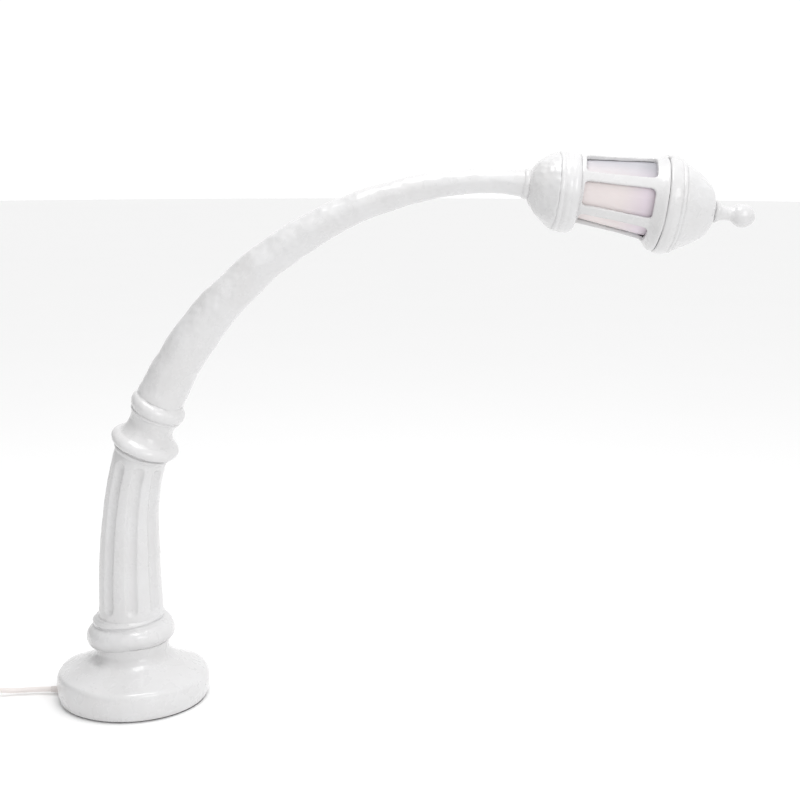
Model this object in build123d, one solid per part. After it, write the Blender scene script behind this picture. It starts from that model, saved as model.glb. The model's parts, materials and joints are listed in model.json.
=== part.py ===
from build123d import *
from math import cos, degrees, pi, radians, sin, sqrt, tan
import os

# A white cast-resin lamp in the shape of a bent street lantern.
# Frame: millimetres, +Z up, origin at the centre of the foot, the arm bends towards +X.
# The centre line of the whole lamp lies in the XZ plane. Distances along it start at the floor.

# ---- centre line: a straight column, then arcs that run into each other: (length, turn) ----
COLUMN_STRAIGHT = 150.0
BENDS = [(98.0, 4.0), (96.0, 13.6), (60.0, 5.4), (392.0, 45.4), (188.0, 24.4), (25.0, 5.5)]

# ---- foot ----
WALL_RADIUS = 102.5
WALL_TOP = 31.0
WALL_BULGE = 2.3
PAD_THICK = 2.0
PLINTH_WALL = 7.0
FOOT_RADIUS = WALL_RADIUS - 3.0
PAD_RADIUS = FOOT_RADIUS - 1.5
SHOULDER_RADIUS = WALL_RADIUS - 16.5
SHOULDER_TOP = 46.5
NECK_RADIUS = 49.5
COVE_MIDDLE = NECK_RADIUS + 0.356 * (SHOULDER_RADIUS - NECK_RADIUS)
NECK_START = 68.0
NECK_TOP = 76.0
PLATE_THICK = 1.5
PLATE_TOP = PAD_THICK + PLATE_THICK
PLATE_RADIUS = FOOT_RADIUS - PLINTH_WALL - 0.5
BALLAST_RADIUS = FOOT_RADIUS - PLINTH_WALL - 2.5
BALLAST_TOP = 40.0
BALLAST_BEVEL = 14.0
BALLAST_BORE = 12.0
POCKET_START = 6.0
POCKET_LENGTH = 62.0
POCKET_WIDTH = 34.0
POCKET_HEIGHT = 22.0
LEAD_SLOT_LAP = 8.0
LEAD_SLOT_LENGTH = 2 * (BALLAST_RADIUS - POCKET_START - POCKET_LENGTH + LEAD_SLOT_LAP)
LEAD_SLOT_WIDTH = 14.0
LEAD_SLOT_TOP = 14.0
COVER_START = 152.0
COVER_END = 186.0
COVER_LOW = 21.0
COVER_HIGH = 36.0
COVER_GAP = 0.8

# ---- screws and fits ----
FIT = 0.3
RUNNING_FIT = 0.05
SCREW_RADIUS = 2.5
SCREW_HEAD = 4.5
SCREW_HEAD_THICK = 4.0
BASE_SCREW_CIRCLE = 70.0
BASE_SCREW_HEAD = 5.0
BASE_SCREW_TOP = 20.0
SCREW_HOLE_SPARE = 2.0
FLANGE_SCREW_DEPTH = 10.0
SMALL_SCREW_RADIUS = 1.5
SMALL_HOLE_RADIUS = 1.6
SMALL_SCREW_HEAD = 2.8

# ---- core tube that carries the castings and the wires ----
TUBE_RADIUS = 8.0
TUBE_WALL = 1.5
TUBE_CLEARANCE = 0.3
FLANGE_RADIUS = 30.0
FLANGE_THICK = 4.0
FLANGE_COLLAR = 4.0
FLANGE_SCREW_CIRCLE = 21.0
LEAD_RADIUS = 2.5
LEAD_BEND = 14.0
LEAD_START = -24.0
LEAD_HEIGHT = 13.0

# ---- lower moulding, fluted shaft, capital, arm ----
MOULDING_TILT = -5.5
MOULDING_RADIUS = 59.0
MOULDING_THICK = 33.0
MOULDING_BEAD = 48.5
MOULDING_BEAD_THICK = 11.0
MOULDING_BORE = 34.0
SHAFT_RADII = [43.4, 42.4, 41.0, 39.4, 37.4, 36.2, 35.2]
SHAFT_WALL = 9.0
FLUTES = 8
FLUTE_TURN = 12.0
FLUTE_RADIUS = 11.0
FLUTE_DEPTH = 3.2
FLUTE_LOW_MARGIN = 13.0
FLUTE_HIGH_MARGIN = 19.5
FLUTE_END_STEPS = (0.8, 0.55, 0.25)
CAPITAL_START = 340.0
CAPITAL_TILT = 21.3
CAPITAL_BEAD = 38.0
CAPITAL_BEAD_THICK = 10.0
CAPITAL_TORUS = 45.5
CAPITAL_TORUS_THICK = 21.0
CAPITAL_COVE = 31.0
CAPITAL_COVE_LENGTH = 36.0
CAPITAL_TOP = 36.4
CAPITAL_TOP_THICK = 16.0
ARM_START_RADIUS = 31.4
ARM_RADII = [29.6, 27.6, 25.4, 23.4, 21.4, 19.2, 17.2, 15.8, 15.2]
ARM_WALL = 5.0
END_WEB = 12.0

# ---- lantern, in its own frame: distance along its axis from the arm's end ----
COLLAR_LENGTH = 6.0
COLLAR_RADIUS = 19.5
BELL_END = 46.0
BELL_START_RADIUS = 18.5
BELL_MIDDLE = (20.0, 34.5)
BELL_END_RADIUS = 46.5
BELL_DROP = 2.5
BELL_WALL = 5.0
RING_END = 66.0
RING_RADIUS = 50.0
RING_BORE = 37.0
CAGE_RISE = 4.4
CAGE_START_RADIUS = 43.3
CAGE_END_RADIUS = 54.5
CAGE_END = 165.0
CAGE_WALL = 6.0
END_RING_START = 163.0
END_RING_END = 174.8
END_RING_RADIUS = 61.5
WINDOWS = 6
WINDOW_TURN = 5.5
WINDOW_OPENING = 44.0
WINDOW_START = 71.5
WINDOW_END = 161.0
WINDOW_CORNER = 5.0
SOCKET_RADIUS = 51.0
SOCKET_START = 167.0
DIFFUSER_GAP = 0.5
DIFFUSER_WALL = 2.2
CAP_GAP = 1.2
LIP_RADIUS = 63.0
LIP_LENGTH = 12.0
BEADS_AT = 204.0
BEADS_RADIUS = 54.0
DOME_MIDDLE = (231.0, 39.5)
DOME_END = 247.0
DOME_END_RADIUS = 14.5
CAP_WALL = 4.0
SPIGOT_DEPTH = 6.0
SPIGOT_WALL = 3.5
SEAL_RADIUS = 1.1
FINIAL_RING = 14.2
FINIAL_RING_THICK = 5.5
FINIAL_NECK = 7.2
FINIAL_NECK_LENGTH = 24.0
FINIAL_BALL = 15.3
STUD_RADIUS = 3.0
STUD_LENGTH = 30.0
STUD_CLEARANCE = 0.1
STUD_NUT_FLATS = 10.0
STUD_NUT_THICK = 4.4
CAP_EDGE = 2.5
SPIGOT_FLANGE = 4.0
SPIGOT_CLEARANCE = 0.5
PLATE_SEAT = 40.0
HOLDER_PLATE_THICK = 2.5
NUT_FLATS = 24.0
NUT_THICK = 5.0
TUBE_END_SHORT = 1.0
NIPPLE_RADIUS = 5.0
NIPPLE_BORE = LEAD_RADIUS + 1.0
NIPPLE_LENGTH = 18.0
HOLDER_START = 56.0
HOLDER_SPLIT = HOLDER_START + 12.0
HOLDER_END = 98.0
HOLDER_RADIUS = 14.0
HOLDER_CAP_RADIUS = HOLDER_RADIUS - 1.0
HOLDER_CAP_WALL = 2.0
HOLDER_CAP_FLOOR = 3.0
HOLDER_ROUND = 4.0
HOLDER_FLOOR = 5.0
NIPPLE_HIGH = HOLDER_START + HOLDER_CAP_FLOOR - 1.0
BULB_SHELL_RADIUS = 6.9
SOCKET_BORE = BULB_SHELL_RADIUS + FIT
BULB_SHELL_WALL = 0.8
BULB_SHELL_LENGTH = 17.0
SHELL_HIGH = HOLDER_END + 1.0
SHELL_LOW = SHELL_HIGH - BULB_SHELL_LENGTH
TIP_LENGTH = 2.5
TIP_RADII = (2.0, 3.5)
CONTACT_GAP = 0.7
CONTACT_RADIUS = 3.0
BULB_RADIUS = 22.5
BULB_RISE = 38.0
BULB_NECK = 9.0
BULB_FLANK = (10.6, 11.0)
BULB_WAIST = -44.0
BULB_GLASS = 1.0

# ---- mains lead ----
CORD_RADIUS = 3.5
EXIT_HEIGHT = PLATE_TOP + CORD_RADIUS + 0.2
RELIEF_OUTSIDE = 12.0
RELIEF_INSIDE = 9.0
RELIEF_RADIUS = CORD_RADIUS + 1.2
RELIEF_TIP = CORD_RADIUS + 0.5
CLAMP_X = -64.0
CLAMP_LENGTH = 8.0
CLAMP_WIDTH = 28.0
CLAMP_THICK = 4.0
CLAMP_SCREW_Y = 9.5
BLOCK_X = -42.0
BLOCK_LENGTH = 24.0
BLOCK_WIDTH = 26.0
BLOCK_HEIGHT = 14.0
BLOCK_LIFT = 1.0
BLOCK_HOLE_DEPTH = 8.0
TERMINAL_SPACING = (12.0, 16.0)
TERMINAL_RADIUS = 2.0
TERMINAL_LENGTH = 5.0
SWITCH_FACE = -206.0
SWITCH_LENGTH = 62.0
SWITCH_WIDTH = 26.0
SWITCH_HEIGHT = 19.0
SWITCH_Y = -10.0
SWITCH_CORNER = 7.0
SWITCH_EDGE = 3.0
SWITCH_WALL = 2.0
SWITCH_END_WALL = 5.0
SWITCH_SCREW_X = 19.4
SWITCH_SCREW_Y = 7.5
SWITCH_POST = 3.2
ROCKER_LENGTH = 18.0
ROCKER_WIDTH = 11.0
ROCKER_THICK = 7.0
ROCKER_TILT = 8.0
ROCKER_CLEARANCE = 1.0
ROCKER_RISE = 1.2
ROCKER_DISH = 0.4
PIVOT_RADIUS = 1.2
PIVOT_DEPTH = 3.5
PIVOT_SHORT = 6.0
LUG_LENGTH = 7.0
LUG_THICK = 3.0
COIL_RADIUS = 37.0
COIL_WIDTH = 21.0
COIL_HEIGHT = 20.5
COIL_LIFT = 1.2
COIL_ROUND = 5.0
COIL_GAP = 60.0
TIE_WIDTH = 7.0
TAIL_HEIGHT = 13.0
PLUG_LENGTH = 34.0
PLUG_NARROW = 15.0
PLUG_WIDTH = 26.0
PLUG_THICK = 14.0
PLUG_ROUND = 5.0
PLUG_BOOT = 16.0
PIN_RADIUS = 2.0
PIN_LENGTH = 19.0
PIN_SEAT = 8.0
PIN_POINT = 1.2
PIN_SPACING = 18.0

AXIS_END = COLUMN_STRAIGHT + sum(length for length, _ in BENDS)


def centre(s):
    """The centre line's x and z, and its lean from vertical in degrees, s along it."""
    x, z, lean = 0.0, min(s, COLUMN_STRAIGHT), 0.0
    left = s - COLUMN_STRAIGHT
    for length, turn in BENDS:
        if left <= 0:
            break
        part = min(left, length)
        radius = length / radians(turn)
        end = lean + turn * part / length
        x += radius * (cos(radians(lean)) - cos(radians(end)))
        z += radius * (sin(radians(end)) - sin(radians(lean)))
        lean = end
        left -= part
    if left > 0:
        x += left * sin(radians(lean))
        z += left * cos(radians(lean))
    return x, z, lean


def across(s, tilt=None):
    """The plane square to the centre line at s, or with a tilt of its own; local x points outwards."""
    x, z, lean = centre(s)
    a = radians(lean if tilt is None else tilt)
    return Plane(origin=(x, 0, z), x_dir=(cos(a), 0, -sin(a)), z_dir=(sin(a), 0, cos(a)))


def centre_path(low, tail):
    """The centre line from height low to the arm's end, and straight on for tail."""
    here, lean = (0.0, COLUMN_STRAIGHT), 0.0
    edges = [Line((0, low), here)]
    for length, turn in BENDS:
        heading = (sin(radians(lean)), cos(radians(lean)))
        edges.append(JernArc(here, heading, length / radians(turn), -turn))
        lean += turn
        end = edges[-1] @ 1
        here = (end.X, end.Y)
    edges.append(Line(here, (here[0] + tail * sin(radians(lean)), here[1] + tail * cos(radians(lean)))))
    return Plane.XZ * Curve(edges)


def turned(*edges):
    """A solid turned about Z from edges drawn as (radius, height)."""
    return revolve(Plane.XZ * make_face(Curve(list(edges))), Axis.Z)


def outline(*points):
    return Polyline(*points, close=True)


def tube(low, high, outer, inner):
    """A plain round sleeve between two heights on Z."""
    sleeve = Pos(0, 0, low) * extrude(Circle(outer), high - low)
    if inner > 0:
        sleeve -= Pos(0, 0, low - 1) * extrude(Circle(inner), high - low + 2)
    return sleeve


def cone_between(low, high, low_radius, high_radius):
    """A solid frustum between two heights on Z."""
    return turned(outline((0, low), (low_radius, low), (high_radius, high), (0, high)))


def hexagon(low, high, flats, bore):
    nut = Pos(0, 0, low) * extrude(RegularPolygon(flats / 2, 6, major_radius=False), high - low)
    return nut - Pos(0, 0, low - 1) * extrude(Circle(bore), high - low + 2)


def stack(low, start, bore, rolls):
    """A turned stack of mouldings on Z; each roll is (height, radius at its middle, radius at its top)."""
    edges, height, root = [], low, start
    for thick, middle, above in rolls:
        top = height + thick
        edges.append(ThreePointArc((root, height), (middle, height + thick / 2), (above, top)))
        height, root = top, above
    edges.append(Polyline((root, height), (bore, height), (bore, low), (start, low)))
    return turned(*edges), height


def along_core(radius, low, tail):
    """A round bar of a radius that follows the centre line from height low past the arm's end."""
    return sweep(Pos(0, 0, low) * Circle(radius), centre_path(low, tail))


def plinth_outer(skin):
    """The outer shape of the plinth, skin deeper all over."""
    top = NECK_TOP + 20
    return turned(
        Line((0, PAD_THICK), (FOOT_RADIUS - skin, PAD_THICK)),
        ThreePointArc(
            (FOOT_RADIUS - skin, PAD_THICK),
            (WALL_RADIUS - skin, (PAD_THICK + WALL_TOP) / 2),
            (WALL_RADIUS - 1.5 - skin, WALL_TOP),
        ),
        ThreePointArc(
            (WALL_RADIUS - 1.5 - skin, WALL_TOP),
            (WALL_RADIUS - 7.0 - skin, WALL_TOP + 8.5 - skin * 0.4),
            (SHOULDER_RADIUS - skin * 0.7, SHOULDER_TOP - skin),
        ),
        ThreePointArc(
            (SHOULDER_RADIUS - skin * 0.7, SHOULDER_TOP - skin),
            (COVE_MIDDLE - skin * 0.7, SHOULDER_TOP + 12 - skin),
            (NECK_RADIUS - skin, NECK_START),
        ),
        Polyline((NECK_RADIUS - skin, NECK_START), (NECK_RADIUS - skin, top), (0, top), (0, PAD_THICK)),
    )


def bed(height, tilt):
    """The tilted plane on which two castings bed, on the straight column."""
    a = radians(tilt)
    return Plane(origin=(0, 0, height), x_dir=(cos(a), 0, -sin(a)), z_dir=(sin(a), 0, cos(a)))


def beyond(plane, reach=260.0):
    """Everything on the far side of a plane, to cut castings where they bed."""
    return plane * extrude(Rectangle(reach, reach), reach)


def sector(start, end, low, high):
    """A wedge about Z between two azimuths and two heights, wider than the plinth."""
    middle = (start + end) / 2
    reach = 1.3 * WALL_RADIUS
    points = [(0, 0)]
    for a in (start, middle, end):
        points.append((reach * cos(radians(a)), reach * sin(radians(a))))
    return Pos(0, 0, low) * extrude(make_face(Polyline(*points, close=True)), high - low)


def wall_at(height):
    """The plinth's outer radius on its side wall at a height."""
    edge = abs(2 * (height - (PAD_THICK + WALL_TOP) / 2) / (WALL_TOP - PAD_THICK))
    return WALL_RADIUS - WALL_BULGE * edge * edge


def around(radius, angles):
    """Places on a circle about Z."""
    return [Pos(radius * cos(radians(a)), radius * sin(radians(a)), 0) for a in angles]


parts = {}

# ---- foot ----
LOWER_BED = bed(NECK_TOP, MOULDING_TILT)
plinth = plinth_outer(0.0) - plinth_outer(PLINTH_WALL)
plinth -= beyond(LOWER_BED)
plinth -= tube(0, PLATE_TOP + FIT, PLATE_RADIUS + FIT, 0)
exit_x = -wall_at(EXIT_HEIGHT)
outward = Plane(origin=(exit_x, 0, EXIT_HEIGHT), x_dir=(0, 1, 0), z_dir=(-1, 0, 0))
plinth -= outward * tube(-3 * PLINTH_WALL, PLINTH_WALL, RELIEF_RADIUS + FIT, 0)
cover_gap_turn = degrees(COVER_GAP / WALL_RADIUS)
wiring_cover = plinth & sector(
    COVER_START + cover_gap_turn,
    COVER_END - cover_gap_turn,
    COVER_LOW + COVER_GAP,
    COVER_HIGH - COVER_GAP,
)
plinth -= sector(COVER_START, COVER_END, COVER_LOW, COVER_HIGH)
parts["plinth"] = plinth
parts["wiring_cover"] = wiring_cover

parts["foot_pad"] = tube(0, PAD_THICK, PAD_RADIUS, 0)
BASE_SCREWS = around(BASE_SCREW_CIRCLE, (45, 135, 225, 315))
plate = tube(PAD_THICK, PLATE_TOP, PLATE_RADIUS, 0)
for place in BASE_SCREWS:
    plate -= place * tube(0, 2 * PLATE_TOP, BASE_SCREW_HEAD + FIT, 0)
parts["base_plate"] = plate

ballast = turned(
    outline(
        (BALLAST_BORE, PLATE_TOP + FIT),
        (BALLAST_RADIUS, PLATE_TOP + FIT),
        (BALLAST_RADIUS, BALLAST_TOP - BALLAST_BEVEL),
        (BALLAST_RADIUS - BALLAST_BEVEL, BALLAST_TOP),
        (BALLAST_BORE, BALLAST_TOP),
    )
)
ballast -= Pos(-POCKET_LENGTH / 2 - POCKET_START, 0, PLATE_TOP) * extrude(
    Rectangle(POCKET_LENGTH, POCKET_WIDTH), POCKET_HEIGHT
)
ballast -= Pos(-BALLAST_RADIUS, 0, PLATE_TOP) * extrude(
    Rectangle(LEAD_SLOT_LENGTH, LEAD_SLOT_WIDTH), LEAD_SLOT_TOP - PLATE_TOP
)
for place in BASE_SCREWS:
    ballast -= place * tube(0, BASE_SCREW_TOP + SCREW_HOLE_SPARE, SCREW_RADIUS + FIT, 0)
FLANGE_SCREWS = around(FLANGE_SCREW_CIRCLE, (0, 120, 240))
FLANGE_HOLE_LOW = BALLAST_TOP - FLANGE_SCREW_DEPTH - SCREW_HOLE_SPARE
for place in FLANGE_SCREWS:
    ballast -= place * tube(FLANGE_HOLE_LOW, 2 * BALLAST_TOP, SCREW_RADIUS + FIT, 0)
parts["ballast"] = ballast

base_screws = []
for place in BASE_SCREWS:
    head = tube(PAD_THICK, PLATE_TOP, BASE_SCREW_HEAD, 0)
    base_screws.append(place * (head + tube(PLATE_TOP, BASE_SCREW_TOP, SCREW_RADIUS, 0)))
parts["base_screws"] = Compound(children=base_screws)

# ---- core tube, its flange and the wires inside ----
FLANGE_TOP = BALLAST_TOP + FLANGE_THICK
flange = tube(BALLAST_TOP, FLANGE_TOP, FLANGE_RADIUS, TUBE_RADIUS + RUNNING_FIT)
flange += tube(
    BALLAST_TOP, BALLAST_TOP + 3 * FLANGE_THICK, TUBE_RADIUS + FLANGE_COLLAR, TUBE_RADIUS + RUNNING_FIT
)
for place in FLANGE_SCREWS:
    flange -= place * tube(0, 2 * FLANGE_TOP, SCREW_RADIUS + FIT, 0)
parts["tube_flange"] = flange
flange_screws = []
for place in FLANGE_SCREWS:
    head = tube(FLANGE_TOP, FLANGE_TOP + SCREW_HEAD_THICK, SCREW_HEAD, 0)
    shank = tube(BALLAST_TOP - FLANGE_SCREW_DEPTH, FLANGE_TOP, SCREW_RADIUS, 0)
    flange_screws.append(place * (head + shank))
parts["flange_screws"] = Compound(children=flange_screws)

TUBE_END = BELL_END + HOLDER_PLATE_THICK + NUT_THICK - TUBE_END_SHORT
core = along_core(TUBE_RADIUS, BALLAST_TOP, TUBE_END)
core -= along_core(TUBE_RADIUS - TUBE_WALL, BALLAST_TOP, TUBE_END)
parts["core_tube"] = core
lead_end = centre_path(LEAD_HEIGHT + LEAD_BEND, HOLDER_START + 2)
lead_turn = Plane.XZ * Curve(
    [
        Line((LEAD_START, LEAD_HEIGHT), (-LEAD_BEND, LEAD_HEIGHT)),
        JernArc((-LEAD_BEND, LEAD_HEIGHT), (1, 0), LEAD_BEND, 90),
    ]
)
lead = sweep(
    Plane(origin=(LEAD_START, 0, LEAD_HEIGHT), z_dir=(1, 0, 0)) * Circle(LEAD_RADIUS),
    Wire(lead_turn.edges() + lead_end.edges()),
)
parts["inner_lead"] = lead

# ---- column ----
bore = along_core(TUBE_RADIUS + TUBE_CLEARANCE, BALLAST_TOP, TUBE_END)
moulding_stack, moulding_height = stack(
    0,
    NECK_RADIUS,
    MOULDING_BORE,
    [
        (MOULDING_THICK, MOULDING_RADIUS, MOULDING_BEAD - 2),
        (MOULDING_BEAD_THICK, MOULDING_BEAD, SHAFT_RADII[0] + 1),
    ],
)
parts["lower_moulding"] = LOWER_BED * moulding_stack
SHAFT_BED = Plane(
    origin=tuple(LOWER_BED.from_local_coords(Vector(0, 0, moulding_height))),
    x_dir=LOWER_BED.x_dir,
    z_dir=LOWER_BED.z_dir,
)
SHAFT_START = SHAFT_BED.origin.Z
CAPITAL_BED = across(CAPITAL_START, CAPITAL_TILT)

def shaft_radius(s):
    """The shaft's outer radius at a distance along the centre line."""
    at = (s - SHAFT_START) / (CAPITAL_START - SHAFT_START) * (len(SHAFT_RADII) - 1)
    at = min(max(at, 0.0), len(SHAFT_RADII) - 1.001)
    low = int(at)
    return SHAFT_RADII[low] + (at - low) * (SHAFT_RADII[low + 1] - SHAFT_RADII[low])


def spread(first, last, count):
    return [first + (last - first) * i / (count - 1) for i in range(count)]


def loft_along(stations, radius):
    """A round casting lofted along the centre line, its radius a function of the distance."""
    return loft([across(s) * Circle(radius(s)) for s in stations])


shaft = loft_along(spread(SHAFT_START - 12, CAPITAL_START + 16, 9), shaft_radius)
hollow = spread(SHAFT_START + END_WEB, CAPITAL_START - END_WEB, 6)
shaft -= loft_along(hollow, lambda s: shaft_radius(s) - SHAFT_WALL)


def flute(turn):
    """The cutter of one flute: a round bar beside the shaft, its ends rounded off, at an azimuth."""
    low, high = SHAFT_START + FLUTE_LOW_MARGIN, CAPITAL_START - FLUTE_HIGH_MARGIN
    ends = [(FLUTE_RADIUS * e, FLUTE_RADIUS * sqrt(1 - e * e)) for e in FLUTE_END_STEPS]
    stations = [(low - past, radius) for past, radius in ends]
    stations += [(s, FLUTE_RADIUS) for s in spread(low, high, 6)]
    stations += [(high + past, radius) for past, radius in reversed(ends)]
    sections = []
    for s, radius in stations:
        reach = shaft_radius(s) + FLUTE_RADIUS - FLUTE_DEPTH
        sections.append(across(s) * Rot(0, 0, turn) * Pos(reach, 0, 0) * Circle(radius))
    return loft(sections)


for k in range(FLUTES):
    shaft -= flute(-90 + FLUTE_TURN + 360 * k / FLUTES)
shaft -= Plane(
    origin=SHAFT_BED.origin, x_dir=SHAFT_BED.x_dir, z_dir=-SHAFT_BED.z_dir
) * extrude(Rectangle(200, 200), 60)
shaft -= CAPITAL_BED * extrude(Rectangle(200, 200), 60)
shaft -= bore
parts["fluted_shaft"] = shaft

capital, capital_total = stack(
    0,
    SHAFT_RADII[-1] + 0.3,
    0,
    [
        (CAPITAL_BEAD_THICK, CAPITAL_BEAD, SHAFT_RADII[-1] + 0.5),
        (CAPITAL_TORUS_THICK, CAPITAL_TORUS, CAPITAL_COVE + 1),
        (CAPITAL_COVE_LENGTH, CAPITAL_COVE - 0.6, CAPITAL_COVE + 2),
        (CAPITAL_TOP_THICK, CAPITAL_TOP, ARM_START_RADIUS),
    ],
)
capital -= tube(END_WEB, capital_total - END_WEB, CAPITAL_COVE - 8, 0)
capital = CAPITAL_BED * capital
capital -= bore
parts["capital"] = capital

ARM_BED = Plane(
    origin=tuple(CAPITAL_BED.from_local_coords(Vector(0, 0, capital_total))),
    x_dir=CAPITAL_BED.x_dir,
    z_dir=CAPITAL_BED.z_dir,
)
ARM_START = CAPITAL_START + capital_total
arm_stations = spread(ARM_START, AXIS_END, len(ARM_RADII) + 1)
arm_sections = [ARM_BED * Circle(ARM_START_RADIUS)]
arm_sections += [across(s) * Circle(r) for s, r in zip(arm_stations[1:], ARM_RADII)]
arm = loft(arm_sections)


def arm_radius(s):
    """The arm's outer radius at a distance along the centre line."""
    radii = [ARM_START_RADIUS] + ARM_RADII
    at = (s - ARM_START) / (AXIS_END - ARM_START) * (len(radii) - 1)
    low = min(int(at), len(radii) - 2)
    return radii[low] + (at - low) * (radii[low + 1] - radii[low])


arm_hollow = spread(ARM_START + END_WEB, AXIS_END - END_WEB, 9)
arm -= loft_along(arm_hollow, lambda s: arm_radius(s) - ARM_WALL)
arm -= bore
parts["arm"] = arm

# ---- lantern: local Z is its axis, local X faces the front, local Y points down ----
end_x, end_z, end_lean = centre(AXIS_END)
LANTERN = Plane(
    origin=(end_x, 0, end_z),
    x_dir=(0, -1, 0),
    z_dir=(sin(radians(end_lean)), 0, cos(radians(end_lean))),
)
lantern_parts = {}

collar, _ = stack(
    0,
    ARM_RADII[-1],
    TUBE_RADIUS + TUBE_CLEARANCE,
    [(COLLAR_LENGTH, COLLAR_RADIUS, BELL_START_RADIUS - 2)],
)
lantern_parts["lantern_collar"] = collar


def bell_shape(skin):
    start = BELL_START_RADIUS - skin
    return turned(
        ThreePointArc(
            (start, COLLAR_LENGTH),
            (BELL_MIDDLE[1] - skin * 0.8, BELL_MIDDLE[0] + skin * 0.4),
            (BELL_END_RADIUS - skin, BELL_END),
        ),
        Polyline(
            (BELL_END_RADIUS - skin, BELL_END),
            (0, BELL_END),
            (0, COLLAR_LENGTH),
            (start, COLLAR_LENGTH),
        ),
    )


bell = Pos(0, BELL_DROP / 2, 0) * (bell_shape(0) - Pos(0, 0, BELL_WALL) * bell_shape(BELL_WALL))
bell -= tube(0, BELL_END + 1, TUBE_RADIUS + TUBE_CLEARANCE, 0)
bell -= Pos(0, BELL_DROP / 2, 0) * tube(BELL_END - 2, BELL_END + 1, BELL_END_RADIUS - BELL_WALL, 0)
lantern_parts["lantern_bell"] = bell

main_ring = turned(
    Line((RING_BORE, BELL_END), (RING_RADIUS - 3, BELL_END)),
    ThreePointArc(
        (RING_RADIUS - 3, BELL_END),
        (RING_RADIUS, (BELL_END + RING_END) / 2),
        (RING_RADIUS - 3, RING_END),
    ),
    Polyline((RING_RADIUS - 3, RING_END), (RING_BORE, RING_END), (RING_BORE, BELL_END)),
)
main_ring = Pos(0, BELL_DROP, 0) * main_ring
main_ring -= tube(BELL_END - 1, RING_END + 1, RING_BORE - BELL_DROP, 0)
main_ring -= tube(BELL_END - 1, BELL_END + HOLDER_PLATE_THICK + FIT, PLATE_SEAT + FIT, 0)
lantern_parts["main_ring"] = main_ring

lantern_parts["holder_plate"] = tube(
    BELL_END, BELL_END + HOLDER_PLATE_THICK, PLATE_SEAT, TUBE_RADIUS + TUBE_CLEARANCE
)
lantern_parts["tube_nut_inner"] = hexagon(
    BELL_END - NUT_THICK - FIT, BELL_END - FIT, NUT_FLATS, TUBE_RADIUS + RUNNING_FIT
)
NUT_LOW = BELL_END + HOLDER_PLATE_THICK
lantern_parts["tube_nut_outer"] = hexagon(
    NUT_LOW, NUT_LOW + NUT_THICK, NUT_FLATS, TUBE_RADIUS + RUNNING_FIT
)

shift = Pos(0, -CAGE_RISE, 0)
cage_slope = (CAGE_END_RADIUS - CAGE_START_RADIUS) / (CAGE_END - RING_END)


def cage_radius(s):
    return CAGE_START_RADIUS + cage_slope * (s - RING_END)




def cage_cone(low, high, skin):
    """A solid frustum that follows the cage's outside, skin deeper."""
    return cone_between(low, high, cage_radius(low) - skin, cage_radius(high) - skin)


cage = shift * cage_cone(RING_END, CAGE_END, 0)
end_ring = turned(
    Polyline((0, END_RING_START), (END_RING_RADIUS - 5, END_RING_START)),
    ThreePointArc(
        (END_RING_RADIUS - 5, END_RING_START),
        (END_RING_RADIUS - 0.9, END_RING_START + 3.4),
        (END_RING_RADIUS, END_RING_START + 7),
    ),
    Polyline(
        (END_RING_RADIUS, END_RING_START + 7),
        (END_RING_RADIUS - 0.5, END_RING_END),
        (0, END_RING_END),
        (0, END_RING_START),
    ),
)
cage += end_ring
cage -= shift * cage_cone(RING_END - 1, SOCKET_START, CAGE_WALL)
cage -= tube(SOCKET_START, END_RING_END + 1, SOCKET_RADIUS, 0)
half = radians(WINDOW_OPENING / 2)
near, far = sin(half) * cage_radius(WINDOW_START), sin(half) * cage_radius(WINDOW_END)
window = make_face(
    Polyline(
        (WINDOW_START, -near), (WINDOW_END, -far), (WINDOW_END, far), (WINDOW_START, near), close=True
    )
)
window = fillet(window.vertices(), WINDOW_CORNER)
for k in range(WINDOWS):
    turn = radians(WINDOW_TURN + 360 * k / WINDOWS)
    face = Plane(origin=(0, 0, 0), x_dir=(0, 0, 1), z_dir=(cos(turn), sin(turn), 0))
    cage -= shift * (face * Pos(0, 0, CAGE_START_RADIUS / 2) * extrude(window, 60))
lantern_parts["lantern_cage"] = cage

diffuser_outer = CAGE_WALL + DIFFUSER_GAP
diffuser = cage_cone(RING_END, SOCKET_START - 1, diffuser_outer)
diffuser -= cage_cone(RING_END - 1, SOCKET_START, diffuser_outer + DIFFUSER_WALL)
lantern_parts["diffuser"] = shift * diffuser

# ---- lampholder and bulb ----
NIPPLE_LOW = NIPPLE_HIGH - NIPPLE_LENGTH
lantern_parts["reducer_bush"] = tube(
    NIPPLE_LOW, TUBE_END, TUBE_RADIUS - TUBE_WALL - RUNNING_FIT, NIPPLE_RADIUS + RUNNING_FIT
)
lantern_parts["holder_nipple"] = tube(NIPPLE_LOW, NIPPLE_HIGH, NIPPLE_RADIUS, NIPPLE_BORE)
holder_cap = tube(HOLDER_START, HOLDER_SPLIT, HOLDER_CAP_RADIUS, 0)
holder_cap = fillet(holder_cap.edges().group_by(Axis.Z)[0], HOLDER_ROUND)
holder_cap -= tube(0, HOLDER_START + HOLDER_CAP_FLOOR, NIPPLE_RADIUS + RUNNING_FIT, 0)
holder_cap -= tube(HOLDER_START + HOLDER_CAP_FLOOR, HOLDER_END, HOLDER_CAP_RADIUS - HOLDER_CAP_WALL, 0)
lantern_parts["lampholder_cap"] = holder_cap
holder = tube(HOLDER_SPLIT, HOLDER_END, HOLDER_RADIUS, SOCKET_BORE)
holder += tube(HOLDER_SPLIT, HOLDER_SPLIT + HOLDER_FLOOR, HOLDER_CAP_RADIUS, 0)
lantern_parts["lampholder_body"] = holder
lantern_parts["lampholder_contact"] = tube(
    HOLDER_SPLIT + HOLDER_FLOOR, SHELL_LOW - TIP_LENGTH - CONTACT_GAP, CONTACT_RADIUS, 0
)

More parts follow.
